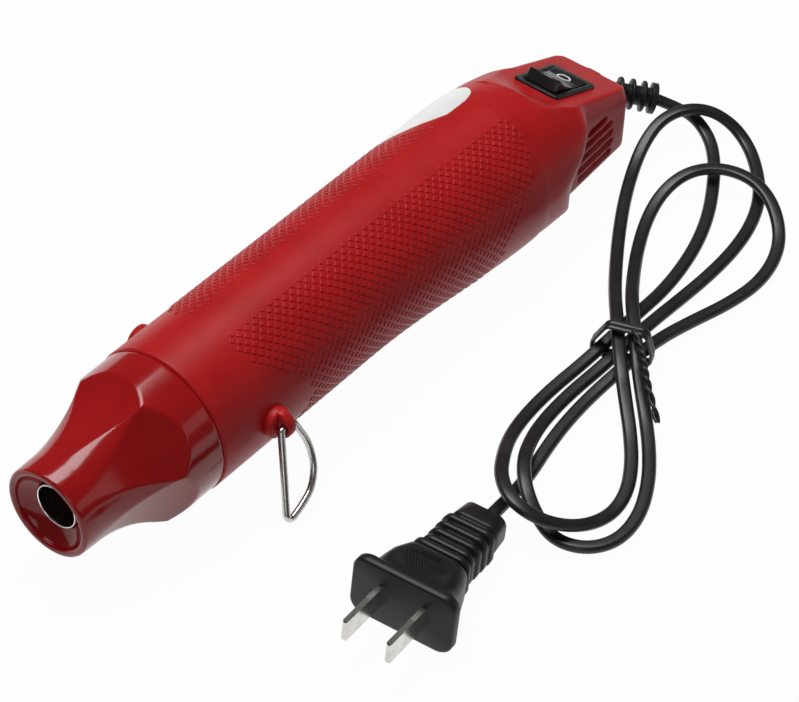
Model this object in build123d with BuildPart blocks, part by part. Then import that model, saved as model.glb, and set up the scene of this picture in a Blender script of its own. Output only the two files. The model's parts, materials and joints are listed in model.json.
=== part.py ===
from build123d import *
from math import cos, pi, radians, sin, sqrt, tan
import os

# An embossing heat tool: a round handle with a sloped tail, a faceted nozzle cover, and inside it a
# fan, its motor and a mica heater. The tool lies along X with its nozzle towards -X and its switch up.
# Stations are measured along the tool's axis from the plane of the mouth. The origin is on the flat
# underside, below the axis, at rest_station.

# Overall sizes
body_length = 230
barrel_radius = 21.5
axis_height = 21.2
rest_station = 110
wall = 2.2
clearance = 0.3
shaft_clearance = 0.05
press_clearance = 0.02
overrun = 5
path_share = 0.45

# Nozzle cover
seam_station = 42.6
collar_radius = 21.2
cover_wall = 1.6
lip_radius = 13.1
lip_inner_radius = 10.9
lip_round = 0.8
neck_station = 6
neck_radius = 13.3
ridge_curve = 34
facet_station = 8
facet_curve = 44
facet_count = 6
facet_angle = 47.7
dish_depth = 4.3
dish_bulge = 3.3
dish_bulge_radius = 9.4
dish_thickness = 1.5
spigot_length = 8

# Outlet tube and heater
outlet_radius = 6.5
outlet_wall = 0.5
outlet_station = 3.4
cone_station = 16
can_station = 33
can_radius = 15
can_end = 94.4
flange_thickness = 0.6
flange_margin = 0.6
mica = 0.4
card = 0.8
sleeve_station = 36
card_station = 42
wing_length = 4
wire_radius = 0.45
coil_turns = 12
coil_card_radius = 11
coil_bend = 1.5
plate_station = 88
plate_thickness = 1
plate_hole_radius = 3.2
plate_hole_circle = 8.5
card_gap = 0.35
coil_margin = 1.5
return_radius = 5
cutoff_edge = 0.5
cutoff_radius = 3.5
cutoff_length = 4.5

# Fan and motor
duct_wall = 2
duct_end = 118
web_station = 112
web_thickness = 2.5
web_hole_radius = 2.1
web_hole_circle = 14.6
web_hole_count = 8
rim_inner_radius = 15.3
rim_thickness = 3.5
slot_length = 3
fan_gap = 0.6
fan_station = 100
fan_length = 8
hub_radius = 4.5
blade_thickness = 0.9
blade_chord = 10
blade_count = 7
blade_pitch = 38
shaft_radius = 1
motor_radius = 12.1
motor_wall = 0.8
motor_length = 28
motor_boss_radius = 3
motor_boss_length = 1.6
magnet_thickness = 2.2
magnet_slot = 9
magnet_overlap = 2
rotor_radius = 8.2
rotor_length = 16
rotor_front = 5
rotor_slot_depth = 4
rotor_slot_width = 1.6
commutator_radius = 3
commutator_length = 5
bell_length = 3
bell_boss_radius = 3.4
bell_boss_length = 2
screw_radius = 1.2
screw_head_radius = 2.1
screw_head = 1.4
screw_grip = 1
motor_screw_circle = 8
flange_screw_angles = (60, 180, 300)
flange_screw_circle = 16.95
flange_screw_radius = 0.8
flange_screw_head_radius = 1.6
flange_screw_length = 3.6
shoulder_inner_radius = 17
shoulder_thickness = 2.5
wire_insulation_radius = 0.65
groove_width = 2
groove_depth = 1.5
heater_wire_angles = (150, 210)
heater_wire_radius = 9
heater_wire_bend = 1.2

# Handle
swell_station = 105
heel_station = 182
heel_radius = 23.7
heel_drop = 3.6
shoulder_length = 19
slope_angle = 15
slope_station = 194
slope_height = 16.2
slope_radius = 24
face_angle = 20.8
face_station = 199.1
face_height = 12.2
tail_half_width = 11.6
tail_rear_half_width = 11.9
flat_half_width = 15.7
flat_rear_half_width = 13.5
bevel_height = 6.2
bevel_rear_height = 2.4
tail_floor_height = 19.7
tail_lift = 1.5
tail_corner = 4
tail_lower_corner = 4.5
swell_steps = 12
# Each row is a share of the shoulder's length and of the heel's radius, and a lean in degrees.
shoulder_shares = (
    (0.14, 0.995, 5),
    (0.28, 0.98, 10.4),
    (0.42, 0.955, 16),
    (0.58, 0.915, 23.5),
    (0.74, 0.86, 30),
    (0.84, 0.82, 31.5),
    (0.92, 0.78, 32),
    (1, 0.72, 32),
)

# Air vents
vent_count = 5
vent_width = 1.8
vent_pitch = 3.4
vent_length = 17
vent_station = 214.5
vent_lead = -1.1
vent_taper = 1
vent_height = 8

# Lugs and stand ring
lug_station = 61.6
lug_radius = 4.4
lug_reach = 23.6
far_lug_reach = 25.5
lug_edge = 0.6
ear_width = 4
ear_reach = 27.5
ring_wire_radius = 1
ring_bore_clearance = 0.1
ring_hinge_reach = 25.4
ring_half_bar = 4
ring_drop = 23
ring_lean = 28
ring_front_reach = 11.2
ring_rear_reach = 5.2
ring_rear_drop = 14
ring_toe = 1.5
ring_toe_drop = 22.4
ring_corner = 1.7
ring_bow = 8

# Switch
switch_station = 209.7
bezel_length = 21.6
bezel_width = 14.8
bezel_height = 1.4
bezel_edge = 0.5
panel_clearance = 0.2
switch_length = 19.2
switch_width = 12.9
switch_depth = 12
rocker_length = 16.4
rocker_top_share = 0.925
rocker_pin = 0.5
bezel_corner = 1
rocker_width = 10.4
rocker_pivot_depth = 1
rocker_dish = 1.5
rocker_belly = 5.6
rocker_tilt = 11
rocker_pin_radius = 0.8
rocker_gap = 0.35
terminal_width = 4.8
terminal_thickness = 0.8
terminal_length = 5
terminal_spacing = 11

# Circuit board
board_station = 152
board_length = 32
board_width = 20
board_thickness = 1.6
board_level = 10.6
pillar_radius = 2.6
pillar_inset = 4
diode_radius = 1.3
diode_length = 5
diode_pitch = 4
capacitor_length = 11
capacitor_width = 6
capacitor_height = 9
capacitor_edge = 0.6
board_screw_radius = 1.1
board_screw_head_radius = 2
motor_wire_spacing = 10
heater_wire_inset = 4
side_wire_offset = 5
wire_step = 3
terminal_gap = 1.4

# Cord entry
cord_radius = 1.9
cord_gap = 0.1
cord_level = 12.4
boot_radius = 3.3
boot_rib_radius = 5.2
boot_rib = 1.2
boot_end_rib = 2.2
boot_rib_pitch = 3.5
boot_rib_count = 4
boot_bend = 6.5
boot_collar_radius = 5
boot_collar = 2
boot_inner_length = 4
clamp_station = 220
clamp_length = 5
clamp_width = 17
clamp_height = 3
clamp_screw_offset = 6
clamp_post_radius = 2.1
clamp_margin = 0.5
clamp_corner = 1
lead_straight = 6

# Plug, on the table beside the tool
plug_heading = -174.5
plug_pitch = 6
plug_face_x = -68.6
plug_face_y = -79.3
plug_flange_width = 30
plug_flange_height = 18
plug_flange = 3.5
plug_flange_corner = 4
plug_neck_width = 23
plug_neck_height = 15.5
plug_back_width = 16.5
plug_back_height = 12.5
plug_body_length = 14
plug_step = 1.5
plug_sleeve_width = 13.4
plug_sleeve_height = 9.4
plug_sleeve_length = 15
plug_rib = 1.5
plug_rib_count = 4
plug_rib_height = 0.9
plug_tip_length = 6.5
plug_tip_width = 13.5
plug_tip_height = 10
plug_waist_share = 0.55
plug_waist_width_share = 0.93
plug_sleeve_corner = 3
blade_tip = 0.4
blade_length = 16
blade_width = 6.35
blade_gauge = 1.5
blade_spacing = 12.7
blade_depth = 8

# Twist tie
tie_radius = 0.6
tie_bend = 1.6
gap_steps = 900
gap_reach = 8

# Rating label
label_station = 168
label_length = 40
label_height = 17
label_angle = -52
label_thickness = 0.2
label_gap = 0.1
label_corner = 4

# Cord route, chosen by hand: x, y and height over the table of each point of the cord's centre
boot_corner = (124.85, 0, 12.4)
boot_end = (134.2, -12.9, 9.2)
lead_points = [
    (139.4, -24.0, 4.9),
    (137.0, -30.8, 2.6),
    (130.4, -37.2, 2.0),
    (120.5, -43.6, 2.0),
    (109.0, -49.8, 2.0),
    (96.5, -54.4, 2.0),
    (83.5, -57.2, 2.0),
]
# The strand from the lead through the tie, and the first loop beyond it
hank_first_loop = [
    (72.5, -58.4, 2.2),
    (62.0, -59.1, 3.7),
    (50.0, -59.3, 3.9),
    (37.0, -58.6, 2.4),
    (22.5, -57.8, 2.0),
    (10.5, -58.6, 2.2),
    (0.4, -61.2, 3.9),
    (-9.0, -65.8, 7.4),
    (-18.2, -71.6, 10.4),
    (-24.0, -79.6, 11.2),
    (-22.6, -88.6, 8.8),
    (-14.6, -94.6, 4.4),
    (-4.6, -97.2, 2.0),
    (4.6, -95.9, 2.0),
    (14.2, -90.8, 2.0),
    (23.4, -83.6, 2.4),
    (30.2, -77.0, 4.6),
    (36.4, -70.9, 7.6),
    (44.0, -64.4, 8.3),
    (52.4, -57.8, 8.2),
]
# The loop towards the tail of the tool, and the second loop beyond the tie
hank_second_loop = [
    (62.0, -50.6, 5.2),
    (73.0, -43.2, 2.6),
    (86.0, -35.0, 2.0),
    (99.5, -27.4, 2.0),
    (112.0, -21.6, 2.2),
    (121.0, -18.8, 4.6),
    (128.4, -18.9, 8.2),
    (135.0, -22.2, 10.0),
    (140.8, -27.4, 8.9),
    (143.6, -34.0, 5.4),
    (141.4, -41.6, 2.6),
    (134.8, -49.0, 2.0),
    (125.6, -56.4, 2.0),
    (114.0, -61.3, 2.0),
    (101.5, -63.7, 2.0),
    (88.0, -64.3, 2.0),
    (74.5, -63.8, 2.0),
    (62.5, -63.9, 3.3),
    (50.5, -64.0, 3.9),
    (38.0, -63.3, 2.4),
    (25.0, -62.6, 2.0),
    (13.0, -63.4, 2.2),
    (2.8, -66.2, 4.2),
    (-6.6, -70.6, 6.8),
    (-13.8, -76.4, 7.0),
    (-18.2, -83.2, 4.6),
    (-20.6, -91.0, 2.2),
    (-17.8, -99.2, 2.0),
    (-10.2, -103.8, 2.0),
    (0.4, -103.0, 2.0),
    (11.6, -98.0, 2.0),
    (21.8, -91.0, 2.0),
    (30.4, -83.6, 2.4),
    (36.8, -77.2, 4.9),
    (42.8, -71.4, 8.0),
    (51.2, -64.6, 8.3),
]
# The inner loop towards the tail of the tool, and the strand that leaves the tie for the plug
hank_third_loop = [
    (60.0, -57.4, 8.0),
    (70.6, -50.6, 4.6),
    (83.0, -43.4, 2.2),
    (95.5, -37.6, 2.0),
    (106.5, -35.0, 3.6),
    (115.0, -36.6, 6.2),
    (121.6, -41.2, 6.9),
    (125.0, -48.0, 6.9),
    (124.6, -56.0, 6.9),
    (121.0, -63.8, 5.3),
    (114.4, -70.6, 2.6),
    (105.0, -74.9, 2.0),
    (93.5, -76.6, 2.0),
    (81.5, -74.8, 2.0),
    (70.5, -71.6, 2.0),
    (59.5, -69.4, 2.8),
    (48.0, -68.7, 3.8),
    (37.0, -68.0, 2.9),
    (26.5, -67.5, 2.0),
]
tail_points = [
    (14.5, -68.4, 2.0),
    (4.0, -70.2, 2.0),
    (-5.0, -72.2, 2.0),
    (-13.4, -73.7, 2.6),
]
tail_straight = 6

# The tie goes under and over the five strands in a plane across them.
tie_x = 47
tie_y = -64
tie_heading = 110
tie_half_width = 8.3
tie_side = 4.6
tie_right_top = 4.6
tie_left_top = 6.3
tie_top = 11.4
tie_bottom = 0.65
tie_end_points = [
    (47.8, -66.3, 11.4),
    (42.5, -73.0, 11.6),
    (35.0, -80.0, 9.6),
    (28.5, -88.5, 5.4),
]

os.makedirs("parts", exist_ok=True)
tool_axis = Axis((0, 0, axis_height), (1, 0, 0))


def radial_plane(angle=0):
    """The plane through the tool's axis that leans by angle from straight up to the near side.
    On it a point is a station and a distance from the axis."""
    lean = radians(angle)
    return Plane((-rest_station, 0, axis_height), x_dir=(1, 0, 0), z_dir=(0, -cos(lean), -sin(lean)))


def cross_plane(station, height=0, lean=0):
    """The plane across the tool at a station, with its middle at a height over the axis.
    Its first direction is +Y and its second is up, leaning backwards by lean degrees."""
    tilt = radians(lean)
    middle = (station - rest_station, 0, axis_height + height)
    return Plane(middle, x_dir=(0, 1, 0), z_dir=(cos(tilt), 0, -sin(tilt)))


def face_level(station):
    """The height of the switch face over the axis."""
    return face_height - tan(radians(face_angle)) * (station - face_station)


def flare_end(start, start_radius, curve, end_radius):
    """The station where an arc that leaves start_radius along the axis reaches end_radius."""
    rise = end_radius - start_radius
    return start + sqrt(curve**2 - (curve - rise) ** 2)


def rounded_path(points):
    """Straight runs through the points, joined by arcs as large as the shorter run allows."""
    corners = [Vector(*point) for point in points]
    radii = []
    for before, corner, after in zip(corners, corners[1:], corners[2:]):
        run = min((corner - before).length, (after - corner).length)
        turn = (corner - before).get_angle(after - corner)
        radii.append(run * path_share / tan(radians(turn / 2)))
    return FilletPolyline(*corners, radius=radii, mode=Mode.PRIVATE), radii


def tube(points, radius, label):
    """A round tube along the points, with its radii and its volume printed."""
    path, radii = rounded_path(points)
    with BuildPart() as strand:
        with BuildSketch(Plane(path @ 0, z_dir=path % 0)):
            Circle(radius)
        sweep(path=path)
    share = strand.part.volume / (pi * radius**2 * path.length)
    print(label, "length", round(path.length, 1), "radii", [round(corner, 1) for corner in radii])
    print(label, "volume as a share of section times length", round(share, 4))
    return strand.part, path


def across(radius, angle):
    """A point on a cross plane at a distance from the axis, at an angle from the top to the near side."""
    return (-radius * sin(radians(angle)), radius * cos(radians(angle)))


def spot(station, radius, angle):
    """A point in space at a station, a distance from the axis and an angle from the top."""
    side, height = across(radius, angle)
    return (station - rest_station, side, axis_height + height)


def finish(part, name):
    """Names a finished piece and writes it."""
    part.label = name
    export_step(part, "parts/" + name + ".step")


# Nozzle cover: a turned shell with a dished mouth, cut by six hollow facets
cover_inner_radius = barrel_radius - wall - clearance - cover_wall
facet_end = flare_end(facet_station, neck_radius, facet_curve, collar_radius)
ridge_end = flare_end(neck_station, neck_radius, ridge_curve, collar_radius)
inner_neck_radius = neck_radius - cover_wall
inner_end = flare_end(facet_station, inner_neck_radius, facet_curve + cover_wall, cover_inner_radius)
dish_radius = outlet_radius + clearance
spigot_radius = barrel_radius - wall - clearance
with BuildPart() as nozzle_cover:
    with BuildSketch(radial_plane()):
        with BuildLine():
            ThreePointArc(
                (lip_round, lip_inner_radius), (0, (lip_radius + lip_inner_radius) / 2), (lip_round, lip_radius)
            )
            Line((lip_round, lip_radius), (neck_station, neck_radius))
            TangentArc((neck_station, neck_radius), (ridge_end, collar_radius), tangent=(1, 0))
            Polyline(
                (ridge_end, collar_radius),
                (seam_station, collar_radius),
                (seam_station, spigot_radius),
                (seam_station + spigot_length, spigot_radius),
                (seam_station + spigot_length, cover_inner_radius),
                (inner_end, cover_inner_radius),
            )
            TangentArc((facet_station, inner_neck_radius), (inner_end, cover_inner_radius), tangent=(1, 0))
            Polyline(
                (facet_station, inner_neck_radius),
                (dish_depth + dish_thickness, inner_neck_radius),
                (dish_depth + dish_thickness, dish_radius),
                (dish_depth, dish_radius),
            )
            ThreePointArc((dish_depth, dish_radius), (dish_bulge, dish_bulge_radius), (lip_round, lip_inner_radius))
        make_face()
    revolve(axis=tool_axis)
    for turn in range(facet_count):
        with BuildSketch(radial_plane(facet_angle + turn * 360 / facet_count)):
            with BuildLine():
                TangentArc((facet_station, neck_radius), (facet_end, collar_radius), tangent=(1, 0))
                Polyline(
                    (facet_end, collar_radius),
                    (facet_end, collar_radius + overrun),
                    (facet_station, collar_radius + overrun),
                    (facet_station, neck_radius),
                )
            make_face()
        extrude(amount=collar_radius, both=True, mode=Mode.SUBTRACT)
finish(nozzle_cover.part, "nozzle_cover")

# Outlet tube: a stepped sheet-metal can from the mouth back to the fan duct, with a screwed flange
flange_radius = barrel_radius - wall - flange_margin
with BuildPart() as outlet_tube:
    with BuildSketch(radial_plane()):
        with BuildLine():
            Polyline(
                (outlet_station, outlet_radius),
                (cone_station, outlet_radius),
                (can_station, can_radius),
                (can_end, can_radius),
                (can_end, flange_radius),
                (can_end + flange_thickness, flange_radius),
                (can_end + flange_thickness, can_radius - outlet_wall),
                (can_station + outlet_wall, can_radius - outlet_wall),
                (cone_station + outlet_wall, outlet_radius - outlet_wall),
                (outlet_station, outlet_radius - outlet_wall),
                close=True,
            )
        make_face()
    revolve(axis=tool_axis)
    for angle in flange_screw_angles:
        with BuildSketch(cross_plane(can_end)):
            with Locations(across(flange_screw_circle, angle)):
                Circle(flange_screw_radius + shaft_clearance)
        extrude(amount=flange_thickness, mode=Mode.SUBTRACT)
finish(outlet_tube.part, "outlet_tube")

# Mica sleeve that lines the can
sleeve_radius = can_radius - outlet_wall - clearance
sleeve_inner_radius = sleeve_radius - mica
with BuildPart() as mica_sleeve:
    with BuildSketch(cross_plane(sleeve_station)):
        Circle(sleeve_radius)
        Circle(sleeve_inner_radius, mode=Mode.SUBTRACT)
    extrude(amount=plate_station + plate_thickness - sleeve_station)
finish(mica_sleeve.part, "mica_sleeve")

# Heater former: two crossed mica cards with wings that reach the sleeve
wing_radius = sleeve_inner_radius - clearance
with BuildPart() as heater_former:
    for angle in (0, 90):
        with BuildSketch(radial_plane(angle)):
            with Locations(((card_station + plate_station) / 2, 0)):
                Rectangle(plate_station - card_station, 2 * coil_card_radius)
            with Locations((card_station + wing_length / 2, 0), (plate_station - wing_length / 2, 0)):
                Rectangle(wing_length, 2 * wing_radius)
        extrude(amount=card / 2, both=True)
finish(heater_former.part, "heater_former")

# Heater coil: one wire from the rear plate, forward between the cards, round them and back
coil_radius = coil_card_radius + wire_radius + card_gap + coil_bend * (sqrt(2) - 1)
coil_start = card_station + wing_length + coil_margin
coil_end = plate_station - wing_length - coil_margin
coil_step = (coil_end - coil_start) / (4 * coil_turns)
coil_side = coil_radius * cos(radians(45))
coil_points = [
    spot(plate_station, return_radius, 225),
    spot(coil_start - coil_step, return_radius, 225),
    spot(coil_start - coil_step, coil_side, 225),
]
for corner in range(4 * coil_turns + 1):
    coil_points.append(spot(coil_start + corner * coil_step, coil_radius, 270 + 90 * corner))
coil_points.append(spot(coil_end + coil_step, coil_side, 315))
coil_points.append(spot(plate_station, coil_side, 315))
with BuildPart() as heater_coil:
    with BuildLine():
        coil_path = FilletPolyline(*coil_points, radius=coil_bend)
    with BuildSketch(Plane(coil_path @ 0, z_dir=coil_path % 0)):
        Circle(wire_radius)
    sweep(path=coil_path)
print("heater coil gap between turns", round(4 * coil_step - 2 * wire_radius, 2))
finish(heater_coil.part, "heater_coil")

# Rear plate of the heater, and the thermal cutoff on its back
with BuildPart() as heater_rear_plate:
    with BuildSketch(cross_plane(plate_station)):
        Circle(wing_radius)
        with PolarLocations(plate_hole_circle, 4):
            Circle(plate_hole_radius, mode=Mode.SUBTRACT)
    extrude(amount=plate_thickness)
finish(heater_rear_plate.part, "heater_rear_plate")

with BuildPart() as thermal_cutoff:
    with BuildSketch(cross_plane(plate_station + plate_thickness)):
        Circle(cutoff_radius)
    extrude(amount=cutoff_length)
    fillet(thermal_cutoff.faces().sort_by(Axis.X)[-1].edges(), cutoff_edge)
finish(thermal_cutoff.part, "thermal_cutoff")

# Fan duct: the ring round the fan, with a front rim for the can's flange and a web for the motor
duct_start = can_end + flange_thickness
duct_radius = barrel_radius - wall - clearance
duct_inner_radius = duct_radius - duct_wall
motor_front = web_station + web_thickness
with BuildPart() as fan_duct:
    with BuildSketch(cross_plane(duct_start)):
        Circle(duct_radius)
        Circle(duct_inner_radius, mode=Mode.SUBTRACT)
    extrude(amount=duct_end - duct_start)
    with BuildSketch(cross_plane(duct_start)):
        Circle(duct_radius)
        Circle(rim_inner_radius, mode=Mode.SUBTRACT)
    extrude(amount=rim_thickness)
    with BuildSketch(cross_plane(web_station)):
        Circle(duct_radius)
        Circle(motor_boss_radius + shaft_clearance, mode=Mode.SUBTRACT)
        with PolarLocations(web_hole_circle, web_hole_count):
            Circle(web_hole_radius, mode=Mode.SUBTRACT)
        with PolarLocations(motor_screw_circle, 2):
            Circle(screw_radius + shaft_clearance, mode=Mode.SUBTRACT)
    extrude(amount=web_thickness)
    for angle in flange_screw_angles:
        with BuildSketch(cross_plane(duct_start)):
            with Locations(across(flange_screw_circle, angle)):
                Circle(flange_screw_radius + shaft_clearance)
        extrude(amount=flange_screw_length, mode=Mode.SUBTRACT)
    for angle in heater_wire_angles:
        with BuildSketch(radial_plane(angle)):
            with Locations(((duct_start + duct_end) / 2, duct_radius)):
                Rectangle(duct_end - duct_start, 2 * groove_depth)
            with Locations((duct_start, duct_radius)):
                Rectangle(2 * slot_length, 2 * (duct_radius - rim_inner_radius + overrun))
        extrude(amount=groove_width / 2, both=True, mode=Mode.SUBTRACT)
finish(fan_duct.part, "fan_duct")

# Screws that hold the can's flange to the duct
with BuildPart() as flange_screws:
    for angle in flange_screw_angles:
        with BuildSketch(cross_plane(can_end)):
            with Locations(across(flange_screw_circle, angle)):
                Circle(flange_screw_radius)
        extrude(amount=flange_screw_length)
        with BuildSketch(cross_plane(can_end)):
            with Locations(across(flange_screw_circle, angle)):
                Circle(flange_screw_head_radius)
        extrude(amount=-screw_head)
finish(flange_screws.part, "flange_screws")

# Fan impeller: pitched blades on a hub, trimmed to the duct
fan_radius = duct_inner_radius - fan_gap
with BuildPart() as fan_impeller:
    for blade in range(blade_count):
        lean = radians(blade * 360 / blade_count)
        outward = (0, -sin(lean), cos(lean))
        pitch = radians(blade_pitch)
        chord = (sin(pitch), -cos(pitch) * cos(lean), -cos(pitch) * sin(lean))
        middle = (fan_station + fan_length / 2 - rest_station, 0, axis_height)
        with BuildSketch(Plane(middle, x_dir=chord, z_dir=outward)):
            Rectangle(blade_chord, blade_thickness)
        extrude(amount=fan_radius + overrun)
    with BuildSketch(cross_plane(fan_station)):
        Circle(fan_radius)
    extrude(amount=fan_length, mode=Mode.INTERSECT)
    with BuildSketch(cross_plane(fan_station)):
        Circle(hub_radius)
    extrude(amount=fan_length)
    with BuildSketch(cross_plane(fan_station)):
        Circle(shaft_radius + press_clearance)
    extrude(amount=fan_length, mode=Mode.SUBTRACT)
finish(fan_impeller.part, "fan_impeller")

# Motor: shaft and rotor, can, magnets, end cap and the screws that hold it to the web
motor_end = motor_front + motor_length
with BuildPart() as motor_shaft:
    with BuildSketch(cross_plane(fan_station)):
        Circle(shaft_radius)
    extrude(amount=motor_end + bell_length - fan_station)
finish(motor_shaft.part, "motor_shaft")

with BuildPart() as motor_rotor:
    with BuildSketch(cross_plane(motor_front + rotor_front)):
        Circle(rotor_radius)
        with PolarLocations(rotor_radius, 5):
            Rectangle(rotor_slot_depth, rotor_slot_width, mode=Mode.SUBTRACT)
    extrude(amount=rotor_length)
    with BuildSketch(cross_plane(motor_front + rotor_front + rotor_length)):
        Circle(commutator_radius)
    extrude(amount=commutator_length)
    with BuildSketch(cross_plane(motor_front + rotor_front)):
        Circle(shaft_radius + press_clearance)
    extrude(amount=rotor_length + commutator_length, mode=Mode.SUBTRACT)
finish(motor_rotor.part, "motor_rotor")

with BuildPart() as motor_can:
    with BuildSketch(cross_plane(motor_front)):
        Circle(motor_radius)
    extrude(amount=motor_length)
    with BuildSketch(cross_plane(motor_front + motor_wall)):
        Circle(motor_radius - motor_wall)
    extrude(amount=motor_length - motor_wall, mode=Mode.SUBTRACT)
    with BuildSketch(cross_plane(motor_front)):
        Circle(motor_boss_radius)
    extrude(amount=-motor_boss_length)
    with BuildSketch(cross_plane(motor_front - motor_boss_length)):
        Circle(shaft_radius + shaft_clearance)
    extrude(amount=motor_boss_length + motor_wall, mode=Mode.SUBTRACT)
    with BuildSketch(cross_plane(motor_front)):
        with PolarLocations(motor_screw_circle, 2):
            Circle(screw_radius + shaft_clearance)
    extrude(amount=motor_wall, mode=Mode.SUBTRACT)
finish(motor_can.part, "motor_can")

magnet_radius = motor_radius - motor_wall - shaft_clearance
with BuildPart() as motor_magnets:
    with BuildSketch(cross_plane(motor_front + rotor_front - magnet_overlap)):
        Circle(magnet_radius)
        Circle(magnet_radius - magnet_thickness, mode=Mode.SUBTRACT)
        Rectangle(magnet_slot, 2 * motor_radius, mode=Mode.SUBTRACT)
    extrude(amount=rotor_length + 2 * magnet_overlap)
finish(motor_magnets.part, "motor_magnets")

with BuildPart() as motor_end_cap:
    with BuildSketch(cross_plane(motor_end)):
        Circle(motor_radius)
    extrude(amount=bell_length)
    with BuildSketch(cross_plane(motor_end)):
        Circle(shaft_radius + shaft_clearance)
    extrude(amount=bell_length, mode=Mode.SUBTRACT)
    with BuildSketch(cross_plane(motor_end + bell_length)):
        Circle(bell_boss_radius)
    extrude(amount=bell_boss_length)
finish(motor_end_cap.part, "motor_end_cap")

with BuildPart() as motor_screws:
    with BuildSketch(cross_plane(web_station)):
        with PolarLocations(motor_screw_circle, 2):
            Circle(screw_radius)
    extrude(amount=web_thickness + motor_wall + screw_grip)
    with BuildSketch(cross_plane(web_station)):
        with PolarLocations(motor_screw_circle, 2):
            Circle(screw_head_radius)
    extrude(amount=-screw_head)
finish(motor_screws.part, "motor_screws")

# Handle: one moulding, made from the same form twice, outside and inset by the wall
swell_length = heel_station - swell_station
handle_sections = [(seam_station, barrel_radius, 0, 0, 0)]
for step in range(swell_steps + 1):
    station_share = step / swell_steps
    growth_share = (1 - cos(pi * station_share)) / 2
    station = swell_station + station_share * swell_length
    swell_radius = barrel_radius + growth_share * (heel_radius - barrel_radius)
    handle_sections.append((station, swell_radius, growth_share * heel_drop, 0, 0))
for station_share, radius_share, lean in shoulder_shares:
    station = heel_station + station_share * shoulder_length
    handle_sections.append((station, radius_share * heel_radius, heel_drop, lean, station_share))


def tail_form(inset=0):
    """The tail behind the switch's step: a sloped face, bevels, flat sides and rounded corners."""
    front = slope_station - inset / 2
    rear = body_length - inset
    sections = (
        (front, tail_half_width, flat_half_width, bevel_height),
        (rear, tail_rear_half_width, flat_rear_half_width, bevel_rear_height),
    )
    with BuildPart() as form:
        for station, top_half, side_half, bevel in sections:
            top = face_level(station) - inset / cos(radians(face_angle))
            with BuildSketch(cross_plane(station)):
                Polygon(
                    (-top_half + inset, top),
                    (top_half - inset, top),
                    (side_half - inset, top - bevel),
                    (side_half - inset, inset - tail_floor_height),
                    (inset - side_half, inset - tail_floor_height),
                    (inset - side_half, top - bevel),
                    align=None,
                )
        loft(ruled=True)
        lower = form.faces().sort_by(Axis.Z)[0].edges().sort_by(SortBy.LENGTH)[-2:]
        fillet(lower, tail_lower_corner - inset)
        if inset == 0:
            sides = form.faces().sort_by(Axis.X)[-1].edges().filter_by(Axis.Z)
            fillet(sides, tail_corner)
    return form.part


def barrel_form(inset=0):
    """The whole handle as one solid body, inset by a wall or grown by a negative inset."""
    tail = tail_form(inset)
    with BuildPart() as form:
        for station, radius, drop, lean, inset_share in handle_sections:
            with BuildSketch(cross_plane(station - inset * inset_share, -drop, lean)):
                Circle(radius - inset)
        loft(ruled=True)
        start = (swell_station + heel_station) / 2
        slope = radians(slope_angle)
        top = slope_height + tan(slope) * (slope_station - start)
        ridge = Plane(
            (start - rest_station, 0, axis_height + top),
            x_dir=(0, 1, 0),
            z_dir=(cos(slope), 0, -sin(slope)),
        )
        with BuildSketch(ridge):
            Rectangle(4 * slope_radius, 2 * slope_radius)
            with Locations((0, -slope_radius)):
                Circle(slope_radius - inset, mode=Mode.SUBTRACT)
            with Locations((0, -2 * slope_radius)):
                Rectangle(4 * slope_radius, 2 * slope_radius, mode=Mode.SUBTRACT)
        extrude(amount=body_length - start, mode=Mode.SUBTRACT)
        with BuildSketch(radial_plane()):
            with BuildLine():
                Polyline(
                    (slope_station, face_level(slope_station) - inset),
                    (slope_station - barrel_radius, face_level(slope_station) - inset + barrel_radius),
                    (body_length, face_level(slope_station) - inset + barrel_radius),
                    (body_length, face_level(body_length) - inset),
                    close=True,
                )
            make_face()
        extrude(amount=2 * barrel_radius, both=True, mode=Mode.SUBTRACT)
        add(tail)
        floor = cross_plane(seam_station, inset - axis_height)
        with BuildSketch(floor):
            Rectangle(4 * barrel_radius, barrel_radius, align=(Align.CENTER, Align.MAX))
        extrude(amount=body_length - seam_station, mode=Mode.SUBTRACT)
    return form.part


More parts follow.
